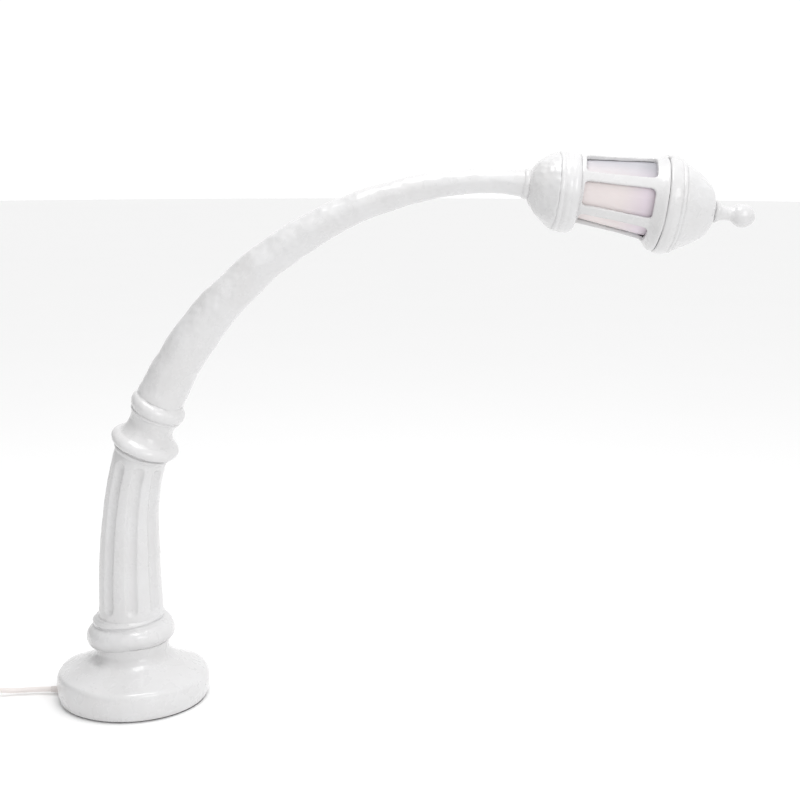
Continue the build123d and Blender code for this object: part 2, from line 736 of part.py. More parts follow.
bulb_parts = {}
shell = tube(SHELL_LOW, SHELL_HIGH, BULB_SHELL_RADIUS, BULB_SHELL_RADIUS - BULB_SHELL_WALL)
shell += tube(SHELL_LOW, SHELL_LOW + BULB_SHELL_WALL, BULB_SHELL_RADIUS, 0)
bulb_parts["bulb_screw_cap"] = shell
bulb_parts["bulb_contact"] = cone_between(SHELL_LOW - TIP_LENGTH, SHELL_LOW, *TIP_RADII)
globe_at = SHELL_HIGH + BULB_RISE


def globe(skin, low):
    """The bulb's glass envelope, skin deeper all over."""
    ball = BULB_RADIUS - skin
    waist = (ball * cos(radians(BULB_WAIST)), globe_at + ball * sin(radians(BULB_WAIST)))
    flank = (BULB_FLANK[0] - skin, SHELL_HIGH + BULB_FLANK[1])
    return turned(
        Polyline((0, low), (BULB_NECK - skin, low)),
        ThreePointArc((BULB_NECK - skin, low), flank, waist),
        ThreePointArc(waist, (ball, globe_at), (0, globe_at + ball)),
        Line((0, globe_at + ball), (0, low)),
    )


bulb_parts["bulb_glass"] = globe(0, SHELL_HIGH) - globe(BULB_GLASS, SHELL_HIGH - BULB_GLASS)

# ---- cap and finial ----
cap_parts = {}
CAP_LOW = END_RING_END + CAP_GAP
LIP_END = CAP_LOW + LIP_LENGTH


def cap_shape(skin):
    """The outer shape of the cap, skin deeper all over."""
    low, edge = CAP_LOW, LIP_RADIUS - skin
    return turned(
        Polyline((0, low), (edge - CAP_EDGE, low)),
        ThreePointArc(
            (edge - CAP_EDGE, low),
            (edge - 0.25 * CAP_EDGE, low + 0.5 * CAP_EDGE),
            (edge, low + 1.6 * CAP_EDGE),
        ),
        Polyline(
            (edge, low + 1.6 * CAP_EDGE),
            (edge - 0.3 * CAP_EDGE, LIP_END - skin / 2),
            (BEADS_RADIUS - skin, BEADS_AT - skin / 2),
        ),
        ThreePointArc(
            (BEADS_RADIUS - skin, BEADS_AT - skin / 2),
            (DOME_MIDDLE[1] - skin * 0.7, DOME_MIDDLE[0] - skin * 0.7),
            (DOME_END_RADIUS - skin * 0.3, DOME_END - skin),
        ),
        Polyline((DOME_END_RADIUS - skin * 0.3, DOME_END - skin), (0, DOME_END - skin), (0, low)),
    )


cap = cap_shape(0) - cap_shape(CAP_WALL)
cap -= tube(CAP_LOW, 2 * DOME_END, STUD_RADIUS + STUD_CLEARANCE, 0)
cap_parts["lantern_cap"] = cap
SPIGOT_RADIUS = SOCKET_RADIUS - SPIGOT_CLEARANCE
SPIGOT_BORE = SPIGOT_RADIUS - SPIGOT_WALL
SPIGOT_LOW = END_RING_END - SPIGOT_DEPTH
FLANGE_LOW = CAP_LOW + 1
spigot = tube(SPIGOT_LOW, FLANGE_LOW + SPIGOT_FLANGE, SPIGOT_RADIUS, SPIGOT_BORE)
cap_inner = LIP_RADIUS - CAP_EDGE - CAP_WALL
spigot += tube(FLANGE_LOW, FLANGE_LOW + SPIGOT_FLANGE, cap_inner - RUNNING_FIT, SPIGOT_BORE)
seal_at = SPIGOT_LOW + SPIGOT_DEPTH / 2
seal_centre = SOCKET_RADIUS - FIT - SEAL_RADIUS
seal = Pos(0, 0, seal_at) * Torus(seal_centre, SEAL_RADIUS)
groove = SEAL_RADIUS + RUNNING_FIT
spigot -= tube(seal_at - groove, seal_at + groove, SOCKET_RADIUS, seal_centre - groove)
cap_parts["cap_spigot"] = spigot
cap_parts["cap_seal_ring"] = seal
RING_TOP = DOME_END + FINIAL_RING_THICK
RING_ROOT = FINIAL_RING - 1.5
NECK_END = DOME_END + FINIAL_NECK_LENGTH
ball_at = NECK_END + sqrt(FINIAL_BALL**2 - FINIAL_NECK**2)
finial = turned(
    ThreePointArc((RING_ROOT, DOME_END), (FINIAL_RING, (DOME_END + RING_TOP) / 2), (RING_ROOT, RING_TOP)),
    ThreePointArc(
        (RING_ROOT, RING_TOP),
        (FINIAL_NECK + 1.2, RING_TOP + 3.5),
        (FINIAL_NECK, NECK_END),
    ),
    ThreePointArc((FINIAL_NECK, NECK_END), (FINIAL_BALL, ball_at), (0, ball_at + FINIAL_BALL)),
    Polyline((0, ball_at + FINIAL_BALL), (0, DOME_END), (RING_ROOT, DOME_END)),
)
stud_high = DOME_END + STUD_LENGTH / 2
finial -= tube(CAP_LOW, stud_high + 1, STUD_RADIUS + STUD_CLEARANCE, 0)
cap_parts["finial"] = finial
cap_parts["finial_stud"] = tube(stud_high - STUD_LENGTH, stud_high, STUD_RADIUS, 0)
nut_high = DOME_END - CAP_WALL - STUD_CLEARANCE
cap_parts["finial_nut"] = hexagon(
    nut_high - STUD_NUT_THICK, nut_high, STUD_NUT_FLATS, STUD_RADIUS + RUNNING_FIT
)

for group in (lantern_parts, bulb_parts, cap_parts):
    for name, solid in group.items():
        parts[name] = LANTERN * solid

# ---- mains lead: grommet, clamp, terminal block ----
relief = turned(
    outline(
        (CORD_RADIUS + RUNNING_FIT, -RELIEF_INSIDE),
        (RELIEF_RADIUS, -RELIEF_INSIDE),
        (RELIEF_RADIUS, 1),
        (RELIEF_TIP, RELIEF_OUTSIDE),
        (CORD_RADIUS + RUNNING_FIT, RELIEF_OUTSIDE),
    )
)
parts["strain_relief"] = outward * relief

ALONG_X = Rot(0, 90, 0)
ALONG_Y = Rot(90, 0, 0)
clamp_low = EXIT_HEIGHT + 1
clamp_top = EXIT_HEIGHT + CORD_RADIUS + CLAMP_THICK
clamp = Pos(CLAMP_X, 0, (clamp_low + clamp_top) / 2) * Box(CLAMP_LENGTH, CLAMP_WIDTH, clamp_top - clamp_low)
clamp -= Pos(CLAMP_X, 0, EXIT_HEIGHT) * ALONG_X * Cylinder(CORD_RADIUS + RUNNING_FIT, 2 * CLAMP_LENGTH)
CLAMP_SCREWS = [Pos(CLAMP_X, side * CLAMP_SCREW_Y, 0) for side in (-1, 1)]
clamp_screws = []
pocket_top = PLATE_TOP + POCKET_HEIGHT
for place in CLAMP_SCREWS:
    clamp -= place * tube(0, 2 * clamp_top, SMALL_HOLE_RADIUS, 0)
    shank = tube(clamp_low - 1, pocket_top - 1, SMALL_SCREW_RADIUS, 0)
    head = tube(clamp_low - SCREW_HEAD_THICK, clamp_low, SMALL_SCREW_HEAD, 0)
    clamp_screws.append(place * (shank + head))
parts["cord_clamp"] = clamp
parts["clamp_screws"] = Compound(children=clamp_screws)

block_face = BLOCK_X - BLOCK_LENGTH / 2
block_low = PLATE_TOP + BLOCK_LIFT
hole_length = 2 * BLOCK_HOLE_DEPTH
block = Pos(BLOCK_X, 0, block_low + BLOCK_HEIGHT / 2) * Box(BLOCK_LENGTH, BLOCK_WIDTH, BLOCK_HEIGHT)
block -= Pos(block_face, 0, EXIT_HEIGHT) * ALONG_X * Cylinder(CORD_RADIUS + FIT, hole_length)
block -= Pos(block_face + BLOCK_LENGTH, 0, LEAD_HEIGHT) * ALONG_X * Cylinder(LEAD_RADIUS + FIT, hole_length)
terminal_screws = []
for x in (-TERMINAL_SPACING[0] / 2, TERMINAL_SPACING[0] / 2):
    for y in (-TERMINAL_SPACING[1] / 2, TERMINAL_SPACING[1] / 2):
        place = Pos(BLOCK_X + x, y, block_low)
        block -= place * tube(-BLOCK_LIFT, TERMINAL_LENGTH + BLOCK_LIFT, TERMINAL_RADIUS + FIT, 0)
        terminal_screws.append(place * tube(1, TERMINAL_LENGTH + 1, TERMINAL_RADIUS, 0))
parts["terminal_block"] = block
parts["terminal_screws"] = Compound(children=terminal_screws)


def cord_piece(name, points):
    """A round tube along straight runs with an arc at each corner; prints the arcs' radii."""
    vectors = [Vector(*p) for p in points]
    runs = [b - a for a, b in zip(vectors, vectors[1:])]
    radii = []
    for before, after in zip(runs, runs[1:]):
        turn = radians(before.get_angle(after))
        radii.append(0.45 * min(before.length, after.length) / tan(turn / 2))
    path = FilletPolyline(*points, radius=radii) if radii else Line(*points)
    start = Plane(origin=points[0], z_dir=tuple(runs[0].normalized()))
    solid = sweep(start * Circle(CORD_RADIUS), path)
    expected = pi * CORD_RADIUS**2 * path.length
    print(name, "radii", [round(r) for r in radii], "length", round(path.length, 1))
    print(name, "volume over section times length", round(solid.volume / expected, 4))
    return solid


axis_z = SWITCH_HEIGHT / 2
relief_end = exit_x - RELIEF_OUTSIDE
parts["lead_in_base"] = cord_piece(
    "lead_in_base", [(block_face - 0.2, 0, EXIT_HEIGHT), (relief_end, 0, EXIT_HEIGHT)]
)
parts["cord_to_switch"] = cord_piece(
    "cord_to_switch",
    [
        (relief_end, 0, EXIT_HEIGHT),
        (-134, 0, EXIT_HEIGHT),
        (-160, -3.5, 6.2),
        (-184, SWITCH_Y, axis_z),
        (SWITCH_FACE, SWITCH_Y, axis_z),
    ],
)

# ---- in-line rocker switch ----
switch_x = SWITCH_FACE - SWITCH_LENGTH / 2
switch = Pos(switch_x, SWITCH_Y, 0)
switch_outer = Box(SWITCH_LENGTH, SWITCH_WIDTH, SWITCH_HEIGHT)
switch_outer = fillet(switch_outer.edges().filter_by(Axis.Z), SWITCH_CORNER)
switch_outer = fillet(switch_outer.edges().group_by(Axis.Z)[-1], SWITCH_EDGE)
switch_inner = Box(
    SWITCH_LENGTH - 2 * SWITCH_END_WALL, SWITCH_WIDTH - 2 * SWITCH_WALL, SWITCH_HEIGHT - 2 * SWITCH_WALL
)
switch_case = switch_outer - switch_inner
switch_case -= ALONG_X * Cylinder(CORD_RADIUS + RUNNING_FIT, 2 * SWITCH_LENGTH)
switch_case = switch * Pos(0, 0, axis_z) * switch_case
lower_half = switch * Box(2 * SWITCH_LENGTH, 2 * SWITCH_WIDTH, 2 * axis_z)
switch_base = switch_case & lower_half
switch_cover = switch_case - lower_half
switch_cover -= switch * Pos(0, 0, SWITCH_HEIGHT) * Box(
    ROCKER_LENGTH + 2 * ROCKER_CLEARANCE, ROCKER_WIDTH + ROCKER_CLEARANCE, 3 * SWITCH_WALL
)
switch_screws = []
for x in (-SWITCH_SCREW_X, SWITCH_SCREW_X):
    place = switch * Pos(x, SWITCH_SCREW_Y, 0)
    switch_base += place * tube(SWITCH_WALL, axis_z, SWITCH_POST, 0)
    switch_base -= place * tube(-1, SWITCH_HEIGHT, SMALL_HOLE_RADIUS, 0)
    switch_screws.append(place * tube(0.5, SWITCH_HEIGHT - 2 * SWITCH_WALL, SMALL_SCREW_RADIUS, 0))
pivot_z = SWITCH_HEIGHT - PIVOT_DEPTH
rocker = Pos(0, 0, ROCKER_RISE) * Box(ROCKER_LENGTH, ROCKER_WIDTH, ROCKER_THICK)
dish = 1.35 * ROCKER_LENGTH
rocker -= Pos(0, 0, ROCKER_RISE + ROCKER_THICK / 2 + dish - ROCKER_DISH) * ALONG_Y * Cylinder(dish, 2 * dish)
rocker += ALONG_Y * Cylinder(PIVOT_RADIUS, SWITCH_WIDTH - PIVOT_SHORT)
cover_inside = SWITCH_HEIGHT - SWITCH_WALL
lug_low = axis_z + 2
lug_y = SWITCH_WIDTH / 2 - SWITCH_WALL - LUG_THICK / 2 - 0.5
for side in (-1, 1):
    lug = Box(LUG_LENGTH, LUG_THICK, cover_inside - lug_low)
    lug = switch * Pos(0, side * lug_y, (lug_low + cover_inside) / 2) * lug
    switch_cover += lug - switch * Pos(0, 0, pivot_z) * ALONG_Y * Cylinder(PIVOT_RADIUS + 0.1, SWITCH_WIDTH)
parts["switch_base"] = switch_base
parts["switch_cover"] = switch_cover
parts["switch_screws"] = Compound(children=switch_screws)
parts["switch_rocker"] = switch * Pos(0, 0, pivot_z) * Rot(0, -ROCKER_TILT, 0) * rocker

# ---- coil of the lead, its tie, the tail and the plug ----
coil_outer = COIL_RADIUS + COIL_WIDTH / 2
coil_reach = sqrt(coil_outer**2 - COIL_RADIUS**2)
coil_x = SWITCH_FACE - SWITCH_LENGTH - COIL_GAP - coil_reach
coil_y = SWITCH_Y + COIL_RADIUS
coil_middle = COIL_LIFT + COIL_HEIGHT / 2
coil_section = Pos(COIL_RADIUS, coil_middle) * RectangleRounded(COIL_WIDTH, COIL_HEIGHT, COIL_ROUND)
parts["cord_coil"] = Pos(coil_x, coil_y, 0) * revolve(Plane.XZ * coil_section, Axis.Z)
tie = Box(COIL_WIDTH + 2, TIE_WIDTH, COIL_HEIGHT + 2 * COIL_LIFT)
tie -= Box(COIL_WIDTH, 2 * TIE_WIDTH, COIL_HEIGHT)
parts["coil_tie"] = Pos(coil_x - COIL_RADIUS, coil_y, coil_middle) * tie
parts["cord_to_coil"] = cord_piece(
    "cord_to_coil",
    [(SWITCH_FACE - SWITCH_LENGTH, SWITCH_Y, axis_z), (coil_x + coil_reach, SWITCH_Y, axis_z)],
)
plug_z = PLUG_THICK / 2
tail_x, tail_y = coil_x + coil_reach, coil_y + COIL_RADIUS
plug_x = tail_x + 44
parts["cord_to_plug"] = cord_piece(
    "cord_to_plug",
    [
        (tail_x, tail_y, TAIL_HEIGHT),
        (tail_x + 14, tail_y + 0.4, TAIL_HEIGHT - 1.8),
        (tail_x + 29, tail_y + 0.6, plug_z + 0.6),
        (plug_x, tail_y, plug_z),
    ],
)
plug = Plane(origin=(plug_x, tail_y, plug_z), x_dir=(0, 1, 0), z_dir=(1, 0, 0))
plug_face = PLUG_BOOT + PLUG_LENGTH
parts["plug_boot"] = plug * cone_between(0, PLUG_BOOT, CORD_RADIUS + 0.7, PLUG_THICK / 2 - 1.5)
body = loft(
    [
        Pos(0, 0, PLUG_BOOT) * RectangleRounded(PLUG_NARROW, PLUG_THICK - 2, PLUG_ROUND),
        Pos(0, 0, plug_face) * RectangleRounded(PLUG_WIDTH, PLUG_THICK, PLUG_ROUND + 0.5),
    ]
)
pins = []
for side in (-1, 1):
    pin = tube(plug_face - PIN_SEAT, plug_face + PIN_LENGTH, PIN_RADIUS, 0)
    pin = Pos(side * PIN_SPACING / 2, 0, 0) * pin
    body -= pin
    pins.append(plug * fillet(pin.edges().group_by(Axis.Z)[-1], PIN_POINT))
parts["plug_body"] = plug * body
parts["plug_pins"] = Compound(children=pins)

os.makedirs("parts", exist_ok=True)
for name, solid in parts.items():
    export_step(solid, f"parts/{name}.step")
print(len(parts), "nodes")
print("arm end", [round(v, 1) for v in (end_x, end_z, end_lean)])
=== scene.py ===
import json
import math

import bmesh
import bpy
from bpy.props import FloatProperty, FloatVectorProperty, IntProperty, PointerProperty
from mathutils import Matrix, Vector, noise


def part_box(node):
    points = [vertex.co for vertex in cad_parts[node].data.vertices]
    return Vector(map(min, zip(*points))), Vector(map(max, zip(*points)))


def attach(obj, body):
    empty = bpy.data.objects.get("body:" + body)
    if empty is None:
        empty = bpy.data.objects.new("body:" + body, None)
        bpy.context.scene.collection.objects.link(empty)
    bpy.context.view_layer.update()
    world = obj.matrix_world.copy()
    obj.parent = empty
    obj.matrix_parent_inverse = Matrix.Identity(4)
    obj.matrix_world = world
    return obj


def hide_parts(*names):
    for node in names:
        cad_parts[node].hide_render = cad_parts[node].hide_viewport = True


bl_info = {
    "name": "Bent Street Lantern Lamp",
    "version": (1, 0, 0),
    "blender": (4, 5, 0),
    "location": "View3D > Sidebar > Lamp",
    "description": "Builds the cast skin, the lead and the finishes of a lantern lamp on its packed frame",
    "category": "Object",
}

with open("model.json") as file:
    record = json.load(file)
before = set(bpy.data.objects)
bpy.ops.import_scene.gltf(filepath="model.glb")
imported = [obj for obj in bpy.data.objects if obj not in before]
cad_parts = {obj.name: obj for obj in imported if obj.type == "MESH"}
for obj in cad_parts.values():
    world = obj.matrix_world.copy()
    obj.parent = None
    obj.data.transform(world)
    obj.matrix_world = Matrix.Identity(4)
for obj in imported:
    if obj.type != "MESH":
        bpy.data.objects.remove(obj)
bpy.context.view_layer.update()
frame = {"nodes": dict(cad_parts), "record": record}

MM = 0.001
# ---- spacing of an outline's points, and of those inside a bore ----
STEP = 1.6 * MM
BORE_STEP = 12 * MM
BORE_END_STEP = 6 * MM

# ---- centre line: a straight column, then arcs that run into each other: (length, degrees) ----
COLUMN_STRAIGHT = 150 * MM
BENDS = [(98, 4.0), (96, 13.6), (60, 5.4), (392, 45.4), (188, 24.4), (25, 5.5)]
AXIS_END = COLUMN_STRAIGHT + MM * sum(length for length, _ in BENDS)

# ---- places along it ----
MOULDING_TILT = -5.5
MOULDING_AT = 76 * MM
CAPITAL_AT = 340 * MM
CAPITAL_TILT = 21.3
ARM_AT = CAPITAL_AT + 83 * MM
CORE_BORE = 8.5 * MM


# ---------------------------------------------------------------- geometry
def centre(s):
    """The centre line's x and z at s along it, and its lean from vertical in radians."""
    x, z, lean = 0.0, min(s, COLUMN_STRAIGHT), 0.0
    left = s - COLUMN_STRAIGHT
    for length, turn in BENDS:
        if left <= 0:
            break
        part = min(left, length * MM)
        radius = length * MM / math.radians(turn)
        end = lean + part / radius
        x += radius * (math.cos(lean) - math.cos(end))
        z += radius * (math.sin(end) - math.sin(lean))
        lean = end
        left -= part
    if left > 0:
        x += left * math.sin(lean)
        z += left * math.cos(lean)
    return x, z, lean


def seat(x, z, lean):
    """A local frame with its Z along the lamp's axis, its X outwards in the bend's plane and its Y across."""
    columns = (
        (math.cos(lean), 0, -math.sin(lean)),
        (0, 1, 0),
        (math.sin(lean), 0, math.cos(lean)),
    )
    turn = Matrix(columns).transposed().to_4x4()
    return Matrix.Translation((x, 0, z)) @ turn


def bent():
    """Places points round the bent centre line."""

    def place(along, radius, angle):
        x, z, lean = centre(along)
        out = radius * math.cos(angle)
        return Vector((x + out * math.cos(lean), radius * math.sin(angle), z - out * math.sin(lean)))

    return place


def upright(matrix, lean=lambda h: 0.0, shift=lambda h: 0.0, pitch=lambda h: 0.0):
    """Places points round the straight axis of a seat. Each level is tipped, in degrees: lean towards the front,
    pitch in the plane of the bend."""

    def place(along, radius, angle):
        side, out = radius * math.sin(angle), radius * math.cos(angle)
        height = along + side * math.tan(math.radians(lean(along))) + out * math.tan(math.radians(pitch(along)))
        return matrix @ Vector((out + shift(along), side, height))

    return place


def run(a, b, step=STEP):
    """Points of a straight stretch of an outline, without its last."""
    a, b = Vector(a), Vector(b)
    count = max(1, round((b - a).length / step))
    return [a.lerp(b, i / count) for i in range(count)]


def arc(a, b, c, step=STEP):
    """Points of the round stretch of an outline from a through b to c, without its last."""
    a, b, c = Vector(a), Vector(b), Vector(c)
    d = 2 * (a.x * (b.y - c.y) + b.x * (c.y - a.y) + c.x * (a.y - b.y))
    sa, sb, sc = a.length_squared, b.length_squared, c.length_squared
    x = (sa * (b.y - c.y) + sb * (c.y - a.y) + sc * (a.y - b.y)) / d
    y = (sa * (c.x - b.x) + sb * (a.x - c.x) + sc * (b.x - a.x)) / d
    middle = Vector((x, y))
    radius = (a - middle).length
    first = math.atan2(a.y - y, a.x - x)
    turn = (math.atan2(c.y - y, c.x - x) - first) % math.tau
    if (math.atan2(b.y - y, b.x - x) - first) % math.tau > turn:
        turn -= math.tau
    count = max(2, round(abs(turn) * radius / step))
    angles = [first + turn * i / count for i in range(count)]
    return [middle + radius * Vector((math.cos(w), math.sin(w))) for w in angles]


def through(points, step=STEP):
    """A soft curve through outline points, without its last: each stretch eases into the next."""
    p = [Vector(q) for q in points]
    p = [2 * p[0] - p[1]] + p + [2 * p[-1] - p[-2]]
    found = []
    for i in range(1, len(p) - 2):
        count = max(1, round((p[i + 1] - p[i]).length / step))
        for k in range(count):
            t = k / count
            a, b, c, d = p[i - 1], p[i], p[i + 1], p[i + 2]
            bend, twist = 2 * a - 5 * b + 4 * c - d, 3 * b - a - 3 * c + d
            found.append(0.5 * (2 * b + (c - a) * t + bend * t**2 + twist * t**3))
    return found


def scaled(*points):
    """Outline points (radius, along) given in millimetres."""
    return [(r * MM, h * MM) for r, h in points]


def chain(start, *stretches):
    """Straight stretches from a start, in millimetres: each has its end's radius and along and its spacing."""
    found, here = [], start
    for *end, spacing in stretches:
        found += run(*scaled(here, end), spacing * MM)
        here = end
    return found


def tube_outline(radius_at, low, high, spacing, top_spacing=BORE_END_STEP):
    """A tapering tube's outline: its outside from low to high, then the core tube's bore back down."""
    count = round((high - low) / spacing)
    levels = [low + (high - low) * i / count for i in range(count + 1)]
    outline = [Vector((radius_at(s), s)) for s in levels]
    outline += run((radius_at(high), high), (CORE_BORE, high), top_spacing)[1:]
    outline += run((CORE_BORE, high), (CORE_BORE, low), BORE_STEP)
    return outline + run((CORE_BORE, low), (radius_at(low), low), BORE_END_STEP)


def new_piece(name, vertices, faces):
    """A linked object with a clean mesh of its own."""
    mesh = bpy.data.meshes.new(name)
    mesh.from_pydata(vertices, [], faces)
    clean(mesh)
    piece = bpy.data.objects.new(name, mesh)
    bpy.context.scene.collection.objects.link(piece)
    return piece


def clean(mesh, near=1e-6):
    """Joins points that lie on each other, turns the faces outwards and shades them smooth."""
    work = bmesh.new()
    work.from_mesh(mesh)
    bmesh.ops.remove_doubles(work, verts=work.verts, dist=near)
    bmesh.ops.dissolve_degenerate(work, edges=work.edges, dist=near / 10)
    bmesh.ops.recalc_face_normals(work, faces=work.faces)
    for face in work.faces:
        face.smooth = True
    work.to_mesh(mesh)
    work.free()


def skin(name, outline, place, sides=192, shape=None):
    """A closed skin: the outline of (radius, along) points turned round an axis; it may start and end on the axis."""
    vertices, faces = [], []
    for radius, along in outline:
        for k in range(sides):
            angle = math.tau * k / sides
            here = shape(along, angle, radius) if shape else radius
            vertices.append(place(along, here, angle))
    rings = len(outline)
    solid = outline[0][0] == 0 and outline[-1][0] == 0
    for i in range(rings - 1 if solid else rings):
        a, b = i * sides, (i + 1) % rings * sides
        for k in range(sides):
            n = (k + 1) % sides
            faces.append((a + k, a + n, b + n, b + k))
    return new_piece(name, vertices, faces)


def bake(piece):
    """Applies a piece's modifiers to its mesh."""
    graph = bpy.context.evaluated_depsgraph_get()
    mesh = bpy.data.meshes.new_from_object(piece.evaluated_get(graph))
    old = piece.data
    piece.modifiers.clear()
    piece.data = mesh
    mesh.name = piece.name
    bpy.data.meshes.remove(old)
    clean(mesh)


def cut(piece, tool, operation):
    """Keeps what of a piece is outside (DIFFERENCE) or inside (INTERSECT) a tool."""
    modifier = piece.modifiers.new("cut", "BOOLEAN")
    modifier.object = tool
    modifier.operation = operation
    modifier.solver = "EXACT"
    bake(piece)


DENT_STEEPNESS = 1.6


def bowls(point, size):
    """How high a peened surface of round dents stands at a point: 0 in a dent's middle, about 1 on its rim."""
    near = noise.voronoi(point / size)[0]
    return min(1.0, near[0] ** 2 * DENT_STEEPNESS)


def work_by_hand(piece, swell, swell_size, dent, dent_size, seed, peen=0.0, hold=None):
    """Moves a skin in and out along its normals, as modelling by hand leaves it.
    swell and dent are the heights of broad and small unevenness; hold(point) from 0 to 1 keeps a place as it is."""
    shift = Vector((seed * 3.7, seed * 1.9, seed * 2.3))
    mesh = piece.data
    moved = []
    for vertex in mesh.vertices:
        here = vertex.co
        height = swell * noise.noise(here / swell_size + shift)
        height += dent * noise.noise(here / dent_size - shift)
        if peen:
            height += peen * (bowls(here + shift * dent_size, dent_size) - 0.5)
        if hold:
            height *= 1 - hold(here)
        moved.append(here + vertex.normal * height)
    for vertex, point in zip(mesh.vertices, moved):
        vertex.co = point
    mesh.update()


def smooth_step(x, low, high):
    """0 below low, 1 above high and a soft ramp between them."""
    t = min(1.0, max(0.0, (x - low) / (high - low)))
    return t * t * (3 - 2 * t)


def soft_least(a, b, round_off):
    """The lesser of two lengths, rounded off where they meet."""
    h = max(round_off - abs(a - b), 0.0) / round_off
    return min(a, b) - h * h * round_off / 4


def wedge(name, low, high, first, last, inner, outer):
    """A closed block between two heights, two azimuths in degrees and two radii."""
    vertices, faces, steps = [], [], 24
    for i in range(steps + 1):
        a = math.radians(first + (last - first) * i / steps)
        for radius, height in ((inner, low), (outer, low), (outer, high), (inner, high)):
            vertices.append((radius * math.cos(a), radius * math.sin(a), height))
    for i in range(steps):
        for k in range(4):
            n = (k + 1) % 4
            faces.append((4 * i + k, 4 * i + n, 4 * i + 4 + n, 4 * i + 4 + k))
    faces.append((0, 1, 2, 3))
    faces.append(tuple(4 * steps + k for k in (3, 2, 1, 0)))
    return new_piece(name, vertices, faces)


def settle(piece, material, body, slot, *nodes):
    """Gives a made piece its finish and its body, and hides the CAD nodes that it stands for; its slot is not used.
    """
    piece.data.materials.clear()
    piece.data.materials.append(material)
    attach(piece, body)
    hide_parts(*nodes)


def settle_white(piece, finishes, node, body="lamp"):
    """Settles a casting of white resin, which stands for one node."""
    settle(piece, finishes["white_resin"], body, "white_resin", node)


# ---------------------------------------------------------------- finishes
class Recipe:
    """A small helper that wires one node material."""

    def __init__(self, name):
        name += "_finish"
        self.material = bpy.data.materials.get(name)
        self.fresh = self.material is None
        if self.fresh:
            self.material = bpy.data.materials.new(name)
            self.material.use_nodes = True
            self.tree = self.material.node_tree
            self.shader = self.tree.nodes["Principled BSDF"]
            self.coordinates = self.add("ShaderNodeTexCoord").outputs["Object"]
            self.height = None

    def add(self, kind, **settings):
        node = self.tree.nodes.new(kind)
        for key, value in settings.items():
            setattr(node, key, value)
        return node

    def link(self, output, socket):
        self.tree.links.new(output, socket)

    def grain(self, size, detail=3.0, stretch=(1, 1, 1), roughness=0.55):
        """Noise with features of a size in metres, from 0 to 1."""
        mapping = self.add("ShaderNodeMapping")
        mapping.inputs["Scale"].default_value = stretch
        self.link(self.coordinates, mapping.inputs["Vector"])
        node = self.add("ShaderNodeTexNoise")
        node.inputs["Scale"].default_value = 1 / size
        node.inputs["Detail"].default_value = detail
        node.inputs["Roughness"].default_value = roughness
        self.link(mapping.outputs["Vector"], node.inputs["Vector"])
        return node.outputs["Fac"]

    def ramp(self, factor, *stops):
        """Colours along a factor; each stop is (place, colour)."""
        node = self.add("ShaderNodeValToRGB")
        elements = node.color_ramp.elements
        while len(elements) < len(stops):
            elements.new(0.5)
        for element, (place, colour) in zip(elements, stops):
            element.position = place
            element.color = (*colour, 1.0)
        self.link(factor, node.inputs["Fac"])
        return node.outputs["Color"]

    def span(self, factor, low, high, source=(0.3, 0.7)):
        """A factor's range between two values turned into low to high."""
        node = self.add("ShaderNodeMapRange")
        node.inputs["From Min"].default_value = source[0]
        node.inputs["From Max"].default_value = source[1]
        node.inputs["To Min"].default_value = low
        node.inputs["To Max"].default_value = high
        self.link(factor, node.inputs["Value"])
        return node.outputs["Result"]

    def blend(self, factor, a, b, mode="MIX"):
        """Two colours mixed by a factor, which may be a number or a socket."""
        node = self.add("ShaderNodeMix", data_type="RGBA", blend_type=mode)
        for socket, value in ((node.inputs[0], factor), (node.inputs[6], a), (node.inputs[7], b)):
            if isinstance(value, bpy.types.NodeSocket):
                self.link(value, socket)
            elif isinstance(value, (float, int)):
                socket.default_value = value
            else:
                socket.default_value = (*value, 1.0)
        return node.outputs[2]

    def bump(self, height, distance, strength=1.0):
        """Adds a layer of relief, distance high in metres."""
        node = self.add("ShaderNodeBump")
        node.inputs["Strength"].default_value = strength
        node.inputs["Distance"].default_value = distance
        self.link(height, node.inputs["Height"])
        if self.height is not None:
            self.link(self.height, node.inputs["Normal"])
        self.height = node.outputs["Normal"]
        self.link(self.height, self.shader.inputs["Normal"])

    def set(self, **values):
        """Sets the shader's plain inputs; an underscore stands for a space."""
        for key, value in values.items():
            self.shader.inputs[key.replace("_", " ")].default_value = value

    def colour(self, output):
        self.link(output, self.shader.inputs["Base Color"])

    def rough(self, output):
        self.link(output, self.shader.inputs["Roughness"])


def shade(colour, by):
    """A colour made lighter or darker, each part at most 1."""
    return tuple(min(1.0, c * by) for c in colour)


def glazed_resin(name, colours, finish):
    """White cast resin under thick brushed gloss paint."""
    r = Recipe(name)
    if r.fresh:
        white, shadow = tuple(colours.resin), tuple(colours.resin_shade)
        broad = r.ramp(r.grain(50 * MM, 2), (0.35, shadow), (0.65, white))
        cloud = r.ramp(r.grain(7 * MM, 3), (0.3, shade(white, 0.985)), (0.7, white))
        specks = r.ramp(r.grain(1.6 * MM, 1), (0.16, (0.5, 0.47, 0.45)), (0.2, (1, 1, 1)))
        r.colour(r.blend(0.6, r.blend(0.4, broad, cloud), specks, "MULTIPLY"))
        r.rough(r.span(r.grain(22 * MM, 4), finish.resin_roughness * 0.7, finish.resin_roughness * 1.5))
        r.set(Coat_Weight=0.6, Coat_Roughness=0.08, Coat_IOR=1.5, IOR=1.5)
        r.bump(r.grain(16 * MM, 2), 0.35 * MM, 0.5)
        r.bump(r.grain(4.5 * MM, 3), 0.11 * MM, 0.6)
        r.bump(r.grain(1.1 * MM, 2), 0.018 * MM, 0.5)
    return r.material


